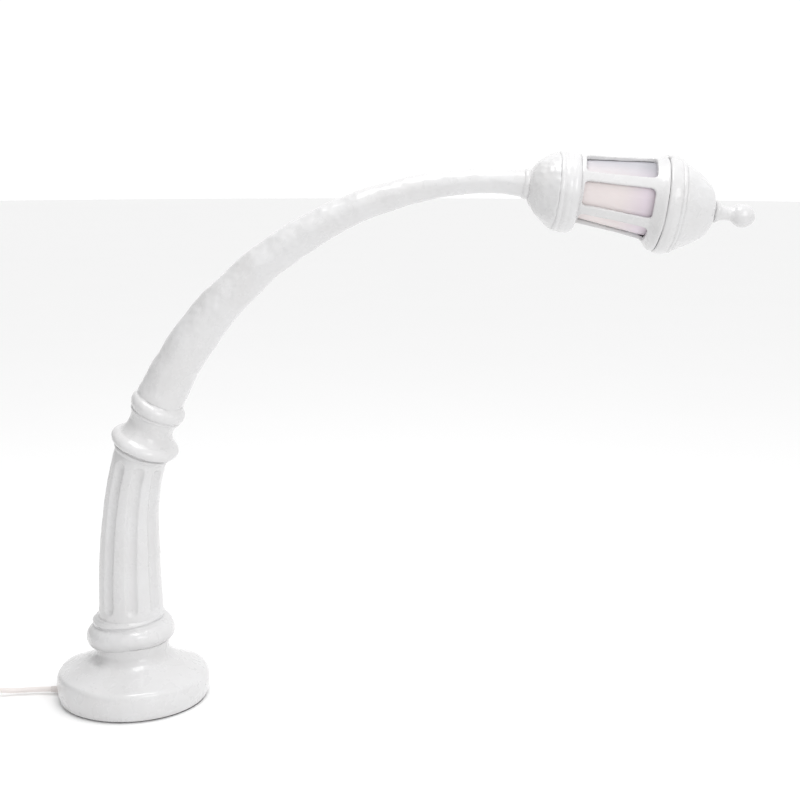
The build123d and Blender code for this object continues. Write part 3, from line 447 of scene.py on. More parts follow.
def opal(name, colours):
    """Milky plastic with painted shade: its own milky colour by the bulb turns to a darker purple-grey towards the
    cap, painted shadow of the cap's end ring, and its upper side is painted darker.
    """
    r = Recipe(name)
    if r.fresh:
        milk, end_shadow_colour, top_shade_colour = tuple(colours.diffuser), tuple(colours.end_diffuser_shadow), tuple(colours.top_diffuser_shade)
        inverse = LANTERN.inverted()
        turned = r.add("ShaderNodeMapping", vector_type="POINT")
        turned.inputs["Location"].default_value = inverse.to_translation()
        turned.inputs["Rotation"].default_value = inverse.to_euler()
        r.link(r.coordinates, turned.inputs["Vector"])
        parts = r.add("ShaderNodeSeparateXYZ")
        r.link(turned.outputs["Vector"], parts.inputs["Vector"])
        along = r.span(parts.outputs["Z"], 0, 1, (70 * MM, 163 * MM))
        # Painted shade: the diffuser's upper side is painted darker than its own milky colour.
        top_side_mask = r.span(parts.outputs["X"], 1, 0, (-44 * MM, -16 * MM))
        # Painted shadow: towards the cap the ramp turns from the milky colour to a darker purple-grey, the shade of
        # the end ring.
        shadow_onset, end = (0.86, shade(end_shadow_colour, 1.12)), (1.0, shade(end_shadow_colour, 0.82))
        body = r.ramp(along, (0.0, milk), (0.55, shade(milk, 0.98)), shadow_onset, end)
        painted_top_ramp = r.ramp(along, (0.0, top_shade_colour), (0.7, top_shade_colour), (1.0, shade(top_shade_colour, 0.75)))
        clouds = r.ramp(r.grain(30 * MM, 2), (0.3, (0.96, 0.96, 0.96)), (0.7, (1, 1, 1)))
        r.colour(r.blend(1.0, r.blend(top_side_mask, body, painted_top_ramp), clouds, "MULTIPLY"))
        r.rough(r.span(r.grain(6 * MM, 3), 0.3, 0.42))
        r.set(Subsurface_Weight=0.12, Subsurface_Radius=(0.010, 0.008, 0.008), Subsurface_Scale=0.4, IOR=1.49)
        r.bump(r.grain(1.3 * MM, 2), 0.02 * MM, 0.5)
    return r.material


def moulded(name, colour, low, high, grain_size=0.5, relief=0.02, mottle=0.05):
    """Moulded plastic or rubber: a fine spark-eroded grain and slight flow marks."""
    r = Recipe(name)
    if r.fresh:
        flow = r.grain(18 * MM, 3, (1, 1, 3))
        r.colour(r.ramp(flow, (0.3, shade(colour, 1 - mottle)), (0.7, shade(colour, 1 + mottle / 2))))
        r.rough(r.span(r.grain(3 * MM, 4), low, high))
        r.bump(r.grain(grain_size * MM, 2), relief * MM, 0.6)
        r.bump(flow, 0.06 * MM, 0.2)
        r.set(IOR=1.48)
    return r.material


def metal(name, colour, low, high, scratch=0.012, tarnish=0.2):
    """Turned or plated metal: fine tool marks, handling haze and darker stains."""
    r = Recipe(name)
    if r.fresh:
        stain = r.grain(7 * MM, 5)
        r.colour(r.ramp(stain, (0.25, shade(colour, 1 - tarnish)), (0.65, colour)))
        r.rough(r.span(r.grain(1.2 * MM, 4, (1, 1, 9)), low, high))
        r.set(Metallic=1.0)
        r.bump(r.grain(0.5 * MM, 3, (1, 1, 16)), scratch * MM, 0.5)
    return r.material


def cast_iron(name):
    """Raw cast iron with a little rust."""
    r = Recipe(name)
    if r.fresh:
        pit, skin_grey, rust = (0.035, 0.033, 0.032), (0.085, 0.08, 0.076), (0.14, 0.085, 0.05)
        r.colour(r.ramp(r.grain(5 * MM, 6), (0.3, pit), (0.62, skin_grey), (0.8, rust)))
        r.rough(r.span(r.grain(2 * MM, 4), 0.55, 0.85))
        r.set(Metallic=0.6)
        r.bump(r.grain(1.6 * MM, 5), 0.35 * MM, 0.8)
    return r.material


def lead_sheath(name, colour, pitch):
    """A round lead's soft sheath, with the faint lay of the cores under it and dust on its flanks."""
    r = Recipe(name)
    if r.fresh:
        r.colour(r.ramp(r.grain(14 * MM, 4), (0.3, shade(colour, 0.92)), (0.7, colour)))
        r.rough(r.span(r.grain(2.5 * MM, 4), 0.36, 0.52))
        r.bump(r.grain(pitch, 1), 0.10 * MM, 0.35)
        r.bump(r.grain(0.6 * MM, 2), 0.012 * MM, 0.6)
        r.set(IOR=1.5)
    return r.material


def bulb_skin(name):
    """Soft white coated glass."""
    r = Recipe(name)
    if r.fresh:
        r.colour(r.ramp(r.grain(10 * MM, 3), (0.3, (0.86, 0.85, 0.82)), (0.7, (0.92, 0.91, 0.88))))
        r.rough(r.span(r.grain(4 * MM, 3), 0.12, 0.22))
        r.set(Coat_Weight=0.5, Coat_Roughness=0.03, Subsurface_Weight=0.2, IOR=1.5)
        r.bump(r.grain(2 * MM, 2), 0.01 * MM, 0.4)
    return r.material


def stage_paper(name, colour):
    """Matt white studio paper."""
    r = Recipe(name)
    if r.fresh:
        r.colour(r.ramp(r.grain(0.4, 2), (0.3, shade(colour, 0.995)), (0.7, colour)))
        r.set(Roughness=0.9)
        r.bump(r.grain(3 * MM, 3), 0.05 * MM, 0.15)
    return r.material


def slot_finishes(colours, finish):
    """The finish of each of the record's material slots."""
    lead, fitting = tuple(colours.lead), tuple(colours.fitting)
    return {
        "white_resin": glazed_resin("glazed_white_resin", colours, finish),
        "black_rubber": moulded("black_rubber", (0.025, 0.024, 0.024), 0.6, 0.8, 0.9, 0.05, 0.15),
        "plated_steel": metal("plated_steel", (0.60, 0.60, 0.58), 0.25, 0.45),
        "screw_steel": metal("screw_steel", (0.50, 0.50, 0.49), 0.3, 0.5, 0.02),
        "cast_iron": cast_iron("cast_iron_ballast"),
        "opal_diffuser": opal("opal_diffuser", colours),
        "white_thermoset": moulded("white_thermoset", (0.74, 0.72, 0.68), 0.3, 0.45),
        "brass": metal("turned_brass", (0.78, 0.60, 0.30), 0.22, 0.4, 0.015, 0.3),
        "bulb_glass": bulb_skin("soft_white_glass"),
        "nickel": metal("nickel_shell", (0.66, 0.63, 0.58), 0.18, 0.32),
        # The spigot is near black so that the cap's seam shows dark: painted shade in the seam.
        "spigot_plastic": moulded("spigot_seam_shade", (0.018, 0.018, 0.019), 0.35, 0.55),
        "lead_sheath": lead_sheath("lead_sheath", lead, 12 * MM),
        "lead_fittings": moulded("lead_fittings", fitting, 0.32, 0.48),
        "rocker_plastic": moulded("rocker_plastic", shade(fitting, 1.06), 0.12, 0.22, 0.4, 0.006),
        "tie_black": moulded("tie_black", (0.03, 0.03, 0.032), 0.4, 0.6),
        "pin_metal": metal("pin_metal", (0.68, 0.65, 0.58), 0.2, 0.35),
    }


# ---------------------------------------------------------------- settings
def length_setting(name, description, default):
    """A length, given in millimetres."""
    return FloatProperty(
        name=name, description=description, default=default * MM, min=0, subtype="DISTANCE", unit="LENGTH"
    )


def colour_setting(name, description, default):
    return FloatVectorProperty(
        name=name, description=description, default=default, subtype="COLOR", size=3, min=0, max=1
    )


class LampSizes(bpy.types.PropertyGroup):
    """Sizes of the skin that a user would change."""

    swell: length_setting("Swell", "Height of the castings' broad unevenness", 1.3)
    dent: length_setting("Dents", "Height of the castings' small unevenness", 0.45)
    peen: length_setting("Peening", "Depth of the round dents on dome, bell and arm", 0.5)
    flutes: IntProperty(name="Flutes", description="Flutes round the shaft", default=8, min=4, max=16)
    flute_radius: length_setting("Flute radius", "Radius of a flute's hollow", 11)
    flute_depth: length_setting("Flute depth", "Depth of a flute at its middle", 4.3)
    lead_diameter: length_setting("Lead", "Diameter of the mains lead", 7)
    gape: length_setting("Seam gape", "How much wider the cap's seam is low on its front", 1.8)
    sides: IntProperty(name="Sides", description="Points round each casting", default=200, min=48, max=400)


class LampColours(bpy.types.PropertyGroup):
    """Colours that a user would change."""

    resin: colour_setting("Resin", "The castings' gloss white", (0.645, 0.643, 0.648))
    resin_shade: colour_setting("Resin shade", "The white where the paint is thin", (0.61, 0.603, 0.603))
    diffuser: colour_setting("Diffuser", "The milky diffuser", (0.74, 0.675, 0.67))
    # Painted shadow: the colour that the diffuser is darkened to by the cap's end ring.
    end_diffuser_shadow: colour_setting("Diffuser end", "The diffuser by the cap", (0.60, 0.53, 0.585))
    # Painted shade: the darker colour painted on the diffuser's upper side.
    top_diffuser_shade: colour_setting("Diffuser top", "The diffuser's upper side", (0.46, 0.455, 0.49))
    lead: colour_setting("Lead", "The mains lead", (0.78, 0.73, 0.71))
    fitting: colour_setting("Fittings", "Plug, switch and strain relief", (0.64, 0.60, 0.585))
    floor: colour_setting("Floor", "The studio floor", (0.95, 0.95, 0.95))


class LampFinish(bpy.types.PropertyGroup):
    """Surface and light values that a user would change."""

    resin_roughness: FloatProperty(
        name="Resin roughness", description="Roughness under the gloss coat", default=0.27, min=0.02, max=1,
        subtype="FACTOR",
    )
    sky: FloatProperty(name="Sky", description="Strength of the even light", default=1.07, min=0)
    dusk: FloatProperty(
        name="Dusk", description="Share of the even light that comes from the left", default=0.22, min=0, max=1,
        subtype="FACTOR",
    )
    overhead: FloatProperty(name="Overhead", description="How much brighter the ceiling is", default=1.0, min=0)
    key: FloatProperty(
        name="Key", description="Power of the large light on the right", default=7, min=0, unit="POWER",
    )
    top: FloatProperty(name="Top", description="Power of the light overhead", default=10, min=0, unit="POWER")


# ---------------------------------------------------------------- pieces
CAMERA_PLACE = (0.3643, -1.9021, 0.7662)
CAMERA_LENS, CAMERA_SENSOR = 65.97, 36.0
CAMERA_TILT = math.radians(79.4)


def add_camera():
    """The lamp is seen level with its lantern, a little from above."""
    data = bpy.data.cameras.new("view")
    data.lens = CAMERA_LENS
    data.sensor_width = CAMERA_SENSOR
    camera = bpy.data.objects.new("view", data)
    camera.location = CAMERA_PLACE
    camera.rotation_euler = (CAMERA_TILT, 0, 0)
    bpy.context.scene.collection.objects.link(camera)
    bpy.context.scene.camera = camera


# The lead's control points on the floor, in millimetres.
LEAD_OUT = [(-113.55, 0, 7.2), (-134, 0, 7.2), (-160, -3.5, 6.2), (-184, -10, 9.5), (-206, -10, 9.5)]
LEAD_TO_COIL = [(-237, -10, 9.5), (-268, -10, 9.5), (-292, -11, 8.0), (-316, -14, 4.6), (-338, -17, 3.7)]
LEAD_TO_PLUG = [
    (-336, 64.2, 17.2), (-321, 64.6, 13.4), (-306, 64.8, 8.6), (-294, 64.2, 7.2), (-284, 64, 7), (-278, 64, 7),
]
COIL_CENTRE = (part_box("cord_coil")[0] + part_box("cord_coil")[1]) / 2
COIL_TURNS = 6.5
TURN_POINTS = 16
# Each turn's radius and height, in millimetres: three turns on the floor, three on them, half a turn on top.
COIL_LAY = [(44, 3.7), (37, 3.7), (30.2, 3.7), (30.2, 10.6), (37, 10.6), (44, 10.6), (37, 17.4)]
JOG = 0.12
COIL_WANDER = 0.45


def coil_points():
    """Control points of the coil: it enters at the front going left and leaves at the back going right."""
    points = []
    for i in range(int(COIL_TURNS * TURN_POINTS) + 1):
        turn = i / TURN_POINTS
        k = min(int(turn), len(COIL_LAY) - 1)
        last = max(k - 1, 0)
        t = smooth_step(turn - k, 0, JOG)
        radius, height = (a + (b - a) * t for a, b in zip(COIL_LAY[last], COIL_LAY[k]))
        radius += COIL_WANDER * noise.noise(Vector((turn * 2.3, 1.7, 0)))
        angle = -math.pi / 2 - math.tau * turn
        x = COIL_CENTRE.x / MM + radius * math.cos(angle)
        y = COIL_CENTRE.y / MM + radius * math.sin(angle)
        points.append((x, y, height))
    return points


def add_lead(sizes):
    """The mains lead on one line, from the strain relief through the switch and the coil to the plug."""
    route = LEAD_OUT + LEAD_TO_COIL + coil_points() + LEAD_TO_PLUG
    data = bpy.data.curves.new("mains_lead", "CURVE")
    data.dimensions = "3D"
    data.bevel_depth = sizes.lead_diameter / 2
    data.bevel_resolution = 7
    data.resolution_u = 6
    data.use_fill_caps = True
    spline = data.splines.new("NURBS")
    spline.points.add(len(route) - 1)
    for point, place in zip(spline.points, route):
        point.co = (*(Vector(place) * MM), 1)
    spline.order_u = 3
    spline.use_endpoint_u = True
    lead = bpy.data.objects.new("mains_lead", data)
    bpy.context.scene.collection.objects.link(lead)
    return lead


def add_tie():
    """A strap round the coil on its far side, thickest along its middle."""
    low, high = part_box("coil_tie")
    middle = (low + high) / 2
    half_x, half_z = (high.x - low.x) / 2 - 0.7 * MM, (high.z - low.z) / 2 - 0.4 * MM
    corner, band, thick, corner_steps = 6 * MM, 6.4 * MM, 1.1 * MM, 8
    around = []
    for cx, cz, first in ((1, 1, 0), (-1, 1, 90), (-1, -1, 180), (1, -1, 270)):
        for i in range(corner_steps + 1):
            a = math.radians(first + 90 * i / corner_steps)
            out = Vector((math.cos(a), 0, math.sin(a)))
            at = Vector((cx * (half_x - corner), 0, cz * (half_z - corner))) + out * corner
            around.append((at, out))
    vertices, faces = [], []
    # The strap's section: across it in widths, up it in thicknesses.
    ring = [(-0.5, 0), (-0.42, 1), (-0.15, 1.12), (0.15, 1.12), (0.42, 1), (0.5, 0), (0, -0.05)]
    for at, out in around:
        for across, up in ring:
            vertices.append(middle + at + Vector((0, band * across, 0)) + out * thick * (up - 1))
    n, m = len(around), len(ring)
    for i in range(n):
        a, b = i * m, (i + 1) % n * m
        for k in range(m):
            faces.append((a + k, a + (k + 1) % m, b + (k + 1) % m, b + k))
    tie = new_piece("lead_tie", vertices, faces)
    soft = tie.modifiers.new("soft", "SUBSURF")
    soft.levels = soft.render_levels = 1
    bake(tie)
    return tie


FOOT_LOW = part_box("foot_pad")[1].z
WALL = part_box("plinth")[1].x
NECK, NECK_BORE, NECK_TOP = 49.5 * MM, 42.5 * MM, 81 * MM
INSIDE = WALL - 10.1 * MM
PLINTH_STEP = 4 * MM
FRONT_BULGE = 1.035
# The fold in the slope: where it is round the foot and out from the axis, its half widths there, and its depth.
FOLD_TURN, FOLD_RADIUS = math.radians(-138), 57 * MM
FOLD_HALF_TURN, FOLD_HALF_WIDTH, FOLD_DEPTH = 0.16, 5 * MM, 3.2 * MM


def plinth_skin(sizes):
    """The foot's casting: an upright wall, a soft shoulder and a hollow slope up to the neck."""
    foot, shoulder = WALL - 3 * MM, WALL - 16.5 * MM
    wall_low, wall_high, edge = (foot, FOOT_LOW + 2 * MM), (WALL - 1.1 * MM, 32.5 * MM), (WALL - 6.8 * MM, 39.2 * MM)
    outline = arc((foot - 2 * MM, FOOT_LOW), (foot - 0.6 * MM, FOOT_LOW + 0.5 * MM), wall_low, MM)
    outline += arc(wall_low, (WALL - 0.3 * MM, 16 * MM), wall_high)
    outline += arc(wall_high, (WALL - 3.0 * MM, 36.6 * MM), edge, MM)
    outline += through([edge, (shoulder, 43.4 * MM), *scaled((74, 48.8), (63, 54.2), (55.5, 59.2))])
    outline += through(scaled((55.5, 59.2), (51.6, 64), (49.8, 69), (49.5, 75)))
    outline += run((NECK, 75 * MM), (NECK, NECK_TOP))
    outline += run((NECK, NECK_TOP), (NECK_BORE, NECK_TOP))
    hidden = [
        (NECK_BORE, NECK_TOP), (NECK_BORE, 60 * MM), (INSIDE - 12 * MM, 42.5 * MM), (INSIDE, 29 * MM),
        (INSIDE, FOOT_LOW), (foot - 2 * MM, FOOT_LOW),
    ]
    for a, b in zip(hidden, hidden[1:]):
        outline += run(a, b, PLINTH_STEP)

    def place(along, radius, angle):
        x, y = radius * math.cos(angle), radius * math.sin(angle)
        rise = smooth_step(along, 8 * MM, 36 * MM) * (1 - smooth_step(along, 62 * MM, 72 * MM))
        tip = -1.3 * MM * x / WALL - 0.8 * MM * y / WALL + 0.9 * MM * math.sin(5 * angle + 0.6)
        turn = (angle - FOLD_TURN + math.pi) % math.tau - math.pi
        fold = math.exp(-((turn / FOLD_HALF_TURN) ** 2) - ((radius - FOLD_RADIUS) / FOLD_HALF_WIDTH) ** 2)
        return Vector((x, y * (FRONT_BULGE if y < 0 else 1), along + rise * tip - FOLD_DEPTH * fold * rise))

    piece = skin("plinth_casting", outline, place, sizes.sides + 40)
    work_by_hand(
        piece, sizes.swell * 0.8, 34 * MM, sizes.dent * 0.45, 12 * MM, 1,
        hold=lambda p: 1 - smooth_step(p.z, 3 * MM, 9 * MM),
    )
    return piece


# The wiring cover's first and last azimuth in degrees, its low and high edge, and the joint round it.
COVER_PANEL = (152, 194, 21 * MM, 37 * MM)
COVER_JOINT = 0.9 * MM


def make_foot(sizes, finishes):
    """The foot's casting, with the wiring cover cut out of it as a piece of its own."""
    casting = plinth_skin(sizes)
    cover = casting.copy()
    cover.data = casting.data.copy()
    cover.name = "wiring_cover_skin"
    bpy.context.scene.collection.objects.link(cover)
    first, last, low, high = COVER_PANEL
    gap, turn = COVER_JOINT, math.degrees(COVER_JOINT / WALL)
    opening = wedge("opening", low, high, first, last, 0.8 * WALL, 1.1 * WALL)
    panel = wedge("panel", low + gap, high - gap, first + turn, last - turn, 0.79 * WALL, 1.11 * WALL)
    cut(casting, opening, "DIFFERENCE")
    cut(cover, panel, "INTERSECT")
    for tool in (opening, panel):
        bpy.data.objects.remove(tool)
    settle_white(casting, finishes, "plinth")
    settle_white(cover, finishes, "wiring_cover")


def stack(start, rolls):
    """The outer outline of turned mouldings; each roll is (height, radius at its middle, radius at its top) in mm."""
    outline, height, root = [], 0.0, start
    for thick, middle, above in rolls:
        a, b, c = (root, height), (middle, height + thick / 2), (above, height + thick)
        outline += arc(*scaled(a, b, c), MM)
        height, root = height + thick, above
    return outline, Vector((root * MM, height * MM))


def moulding(name, seat_matrix, start, rolls, lean, sizes, seed, pitch=lambda h: 0.0):
    """A casting of stacked mouldings with a bore for the core tube."""
    outline, end = stack(start, rolls)
    outline += run(end, (CORE_BORE, end.y), 4 * MM)
    outline += run((CORE_BORE, end.y), (CORE_BORE, 0), 6 * MM)
    outline += run((CORE_BORE, 0), (start * MM, 0), 4 * MM)
    piece = skin(name, outline, upright(seat_matrix, lean, pitch=pitch), sizes.sides)
    work_by_hand(piece, sizes.swell * 0.9, 22 * MM, sizes.dent * 0.8, 8.5 * MM, seed)
    return piece


# The shaft's radius in millimetres at even places from SHAFT_RADII_FROM to the capital.
SHAFT_RADII_FROM = 120 * MM
SHAFT_RADII = [43.6, 43.2, 42.3, 41.3, 40.7, 39.2, 37.6, 36.7, 36.0, 35.4, 35.2]
SHAFT_FROM, SHAFT_TO = 113 * MM, 348 * MM
FLUTE_TURN = 12.0
FLUTE_LOW, FLUTE_HIGH = 133 * MM, 320.5 * MM
FLUTE_LIP = 0.7 * MM


def along_list(values, place):
    """A value read between evenly spaced ones, place from 0 to 1."""
    at = min(max(place, 0.0), 0.9999) * (len(values) - 1)
    low = int(at)
    return values[low] + (at - low) * (values[low + 1] - values[low])


def shaft_radius(s):
    """The plain shaft's radius at a place along the centre line."""
    return along_list(SHAFT_RADII, (s - SHAFT_RADII_FROM) / (CAPITAL_AT - SHAFT_RADII_FROM)) * MM


def fluted(sizes):
    """Cuts the flutes: each is a round-ended bar's hollow with a softened lip."""
    radius_of_bar, depth = sizes.flute_radius, sizes.flute_depth
    pitch = math.tau / sizes.flutes

    def shape(along, angle, radius):
        if radius < 2 * CORE_BORE:
            return radius
        past = max(FLUTE_LOW - along, along - FLUTE_HIGH, 0.0)
        if past >= radius_of_bar:
            return radius
        bar = math.sqrt(radius_of_bar**2 - past**2)
        reach = radius + radius_of_bar - depth
        off = (angle - math.radians(FLUTE_TURN - 90) + pitch / 2) % pitch - pitch / 2
        side = reach * math.sin(off)
        if abs(side) >= bar:
            return radius
        hollow = reach * math.cos(off) - math.sqrt(bar**2 - side**2)
        return soft_least(radius, hollow, FLUTE_LIP)

    return shape


def make_shaft(sizes):
    """The fluted shaft, bent with the centre line."""
    outline = tube_outline(shaft_radius, SHAFT_FROM, SHAFT_TO, STEP)
    piece = skin("shaft_casting", outline, bent(), sizes.sides + 56, fluted(sizes))
    work_by_hand(piece, sizes.swell * 0.35, 26 * MM, sizes.dent * 0.3, 8 * MM, 3)
    return piece


LOWER_START, LOWER_HEIGHT = 49.5, 44 * MM
LOWER_ROLLS = [(31.5, 59.2, 48.6), (3.5, 46.9, 46.6), (6.5, 48.3, 46.0), (2.5, 44.4, 43.6)]
CAPITAL_START, CAPITAL_HEIGHT = 35.0, 83 * MM
CAPITAL_ROLLS = [
    (2.5, 36.6, 36.8), (4.5, 38.4, 36.6), (2.5, 36.2, 37.6), (9.5, 45.6, 45.0), (6.5, 42.6, 37.6),
    (30, 29.8, 33.0), (3.5, 34.2, 33.2), (17, 37.4, 33.2), (5, 31.6, 31.0),
]


def make_column(sizes, finishes):
    """The lower moulding, the shaft and the capital, each a casting of its own."""
    foot_seat = seat(0, MOULDING_AT, math.radians(MOULDING_TILT))
    lower = moulding(
        "lower_moulding_casting",
        foot_seat,
        LOWER_START,
        LOWER_ROLLS,
        lambda h: -3.0 + 7.5 * h / LOWER_HEIGHT,
        sizes,
        2,
    )
    settle_white(lower, finishes, "lower_moulding")
    settle_white(make_shaft(sizes), finishes, "fluted_shaft")
    x, z, _ = centre(CAPITAL_AT)
    capital = moulding(
        "capital_casting",
        seat(x, z, math.radians(CAPITAL_TILT)),
        CAPITAL_START,
        CAPITAL_ROLLS,
        lambda h: 9.0 - 1.5 * h / CAPITAL_HEIGHT,
        sizes,
        4,
        lambda h: -5.0 * smooth_step(h, 38 * MM, 76 * MM),
    )
    settle_white(capital, finishes, "capital")


# The arm's radius in millimetres at even places along it.
ARM_RADII = [
    31.4, 30.3, 29.4, 28.4, 27.4, 26.4, 25.4, 24.4, 23.4, 22.4, 21.3, 20.2, 19.1, 18.1, 17.1, 16.2, 15.6, 15.2, 15.2,
]
ARM_LOW = ARM_AT - 9 * MM
END_FLARE, END_FLARE_LENGTH = 2.6 * MM, 22 * MM


def arm_radius(s):
    """The arm's radius at a place along the centre line, with its flare at the lantern."""
    radius = along_list(ARM_RADII, (s - ARM_AT) / (AXIS_END - ARM_AT)) * MM
    return radius + END_FLARE * smooth_step(s, AXIS_END - END_FLARE_LENGTH, AXIS_END)


def make_arm(sizes, finishes):
    """The arm, bent with the centre line."""
    outline = tube_outline(arm_radius, ARM_LOW, AXIS_END, 1.25 * STEP, 5 * MM)
    piece = skin("arm_casting", outline, bent(), round(sizes.sides * 0.72))
    work_by_hand(piece, sizes.swell * 1.1, 24 * MM, sizes.dent * 0.8, 8.5 * MM, 5, sizes.peen * 0.7)
    settle_white(piece, finishes, "arm")


END_X, END_Z, END_LEAN = centre(AXIS_END)
LANTERN = seat(END_X, END_Z, END_LEAN)
LANTERN_LEAN = -1.5
# Angles round the lantern: 0 is down, -90 the front, 180 the top.


def lantern_drop(h):
    """The bell and main ring sit a little low on the axis."""
    return MM * (2.9 * smooth_step(h, 4 * MM, 40 * MM) - 1.2 * smooth_step(h, 50 * MM, 66 * MM))


def lantern_pitch(h):
    """They are tipped a little down, in degrees."""
    return 2.0 * smooth_step(h, 6 * MM, 34 * MM)


def lantern_round(name, outline, sizes, seed, swell, dent, peen=0.0):
    """A turned casting of the lantern."""
    place = upright(LANTERN, lambda h: LANTERN_LEAN, lantern_drop, lantern_pitch)
    piece = skin(name, outline, place, sizes.sides)
    work_by_hand(piece, swell, 20 * MM, dent, 7.5 * MM, seed, peen)
    return piece


def make_lantern(sizes, finishes):
    """The lantern's collar, bell, main ring and cage."""
    outline = arc(*scaled((16.0, -3.5), (19.8, 0.6), (19.0, 5.4)))
    outline += chain((19.0, 5.4), (17.6, 8, 1.6), (8.5, 8, 3), (8.5, -3.5, 4), (16, -3.5, 3))
    collar = lantern_round("collar_casting", outline, sizes, 6, sizes.swell * 0.6, sizes.dent)
    settle_white(collar, finishes, "lantern_collar")

    outline = through(
        scaled((17.8, 5), (20.6, 6.2), (28.4, 11), (35.6, 17.5), (41.6, 25), (46.4, 33), (49.0, 38.2), (49.6, 39.8))
    )
    outline += chain(
        (49.6, 39.8), (41.5, 39.8, 3), (34, 27, 4), (19, 13, 4), (8.5, 11, 4), (8.5, 5, 4), (17.8, 5, 4)
    )
    bell = lantern_round("bell_casting", outline, sizes, 7, sizes.swell * 1.1, sizes.dent, sizes.peen * 1.1)
    settle_white(bell, finishes, "lantern_bell")

    outline = arc(*scaled((48.9, 39.6), (51.2, 42.8), (50.2, 46.0)), MM)
    outline += arc(*scaled((50.2, 46.0), (51.6, 49), (51.8, 55)))
    outline += arc(*scaled((51.8, 55), (51.2, 62.4), (47.0, 66.5)), MM)
    outline += chain((47.0, 66.5), (38, 66.5, 3), (38, 48.8, 4), (40.3, 39.6, 3), (48.9, 39.6, 3))
    ring = lantern_round("main_ring_casting", outline, sizes, 8, sizes.swell * 0.7, sizes.dent * 0.6)
    settle_white(ring, finishes, "main_ring")
    make_cage(sizes, finishes)


WINDOWS = 6
WINDOW_TURN, WINDOW_OPENING = math.radians(-84.5), math.radians(44)
WINDOW_LOW, WINDOW_HIGH, WINDOW_CORNER = 71.5 * MM, 160.5 * MM, 6.0 * MM
WINDOW_RADIUS = 50 * MM


def window_cutter(middle):
    """A block for one window: a rounded rectangle swept out from the axis, wider as the cage widens."""
    low, high, corner, corner_steps = WINDOW_LOW, WINDOW_HIGH, WINDOW_CORNER, 8
    reach = WINDOW_RADIUS * WINDOW_OPENING / 2 - corner
    flat = []
    for along, side, first in ((high, 1, 0), (high, -1, 90), (low, -1, 180), (low, 1, 270)):
        toward = 1 if along == high else -1
        for i in range(corner_steps + 1):
            a = math.radians(first + 90 * i / corner_steps)
            flat.append((side * reach + corner * math.cos(a), along - toward * corner + corner * math.sin(a)))
    vertices, faces = [], []
    for radius in (30 * MM, 72 * MM):
        for across, along in flat:
            angle = middle + across / WINDOW_RADIUS
            raised = cage_raise(along)
            vertices.append(LANTERN @ Vector((radius * math.cos(angle) - raised, radius * math.sin(angle), along)))
    n = len(flat)
    for k in range(n):
        faces.append((k, (k + 1) % n, n + (k + 1) % n, n + k))
    faces.append(tuple(range(n))[::-1])
    faces.append(tuple(range(n, 2 * n)))
    return vertices, faces


def cage_raise(h):
    """The cage sits a little above the axis and comes back to it at the cap."""
    return 4.2 * MM * (1 - smooth_step(h, 155 * MM, 171 * MM))


# The notch that the cage's end ring and the cap share, at the top of the seam.
NOTCH_TURN = math.radians(-163)
NOTCH_REACH = 3.2 * MM
RING_NOTCH_DEPTH, CAP_NOTCH_DEPTH = 1.6 * MM, 2.4 * MM


def cage_pitch(h):
    """The cage's root is tipped with the main ring, in degrees, and its end ring stands square."""
    return 1.6 * (1 - smooth_step(h, 90 * MM, 165 * MM))


def make_cage(sizes, finishes):
    """The windowed cage, which flares into its end ring, its edges rounded as thick paint leaves them."""
    sides = scaled((43.6, 66), (45.4, 84), (47.6, 112), (50.4, 138), (52.6, 154))
    outline = through(sides + scaled((54.0, 159), (57.4, 165), (60.6, 170), (61.6, 172.6)))
    outline += arc(*scaled((61.6, 172.6), (61.4, 174.2), (60.0, 174.8)), 0.8 * MM)
    outline += chain(
        (60.0, 174.8), (51.3, 174.8, 2), (51.3, 166.8, 2), (48.4, 164.4, 2), (37.4, 66, 3), (43.6, 66, 2)
    )
    place = upright(LANTERN, lambda h: LANTERN_LEAN, lambda h: -cage_raise(h), cage_pitch)
    cage = skin("cage_casting", outline, place, sizes.sides)
    vertices, faces = [], []
    for k in range(WINDOWS):
        points, sides = window_cutter(WINDOW_TURN + math.tau * k / WINDOWS)
        faces += [tuple(len(vertices) + i for i in side) for side in sides]
        vertices += points
    cutter = new_piece("window_cutter", vertices, faces)
    cut(cage, cutter, "DIFFERENCE")
    bpy.data.objects.remove(cutter)
    fine = cage.modifiers.new("fine", "REMESH")
    fine.mode = "VOXEL"
    fine.voxel_size = 1.0 * MM
    ease = cage.modifiers.new("ease", "SMOOTH")
    ease.factor = 0.5
    ease.iterations = 4
    bake(cage)
    work_by_hand(cage, sizes.swell * 0.4, 22 * MM, sizes.dent * 0.4, 7 * MM, 9)
    rim = 61 * MM
    notch = LANTERN @ Vector((rim * math.cos(NOTCH_TURN), rim * math.sin(NOTCH_TURN), 175 * MM))
    back = (LANTERN.to_3x3() @ Vector((0, 0, -1))).normalized()
    for vertex in cage.data.vertices:
        near = 1 - smooth_step((vertex.co - notch).length, 0, NOTCH_REACH * 1.4)
        vertex.co += back * near * RING_NOTCH_DEPTH
    settle_white(cage, finishes, "lantern_cage")


CAP_FROM = 175.25 * MM
CAP_LEAN = -1.0
CAP_EDGE, LIP_LENGTH = 3 * MM, 14 * MM
GAPE_TURN = math.radians(-32)
FINIAL_LOW, FINIAL_TIP = 246.2 * MM, 299.9 * MM


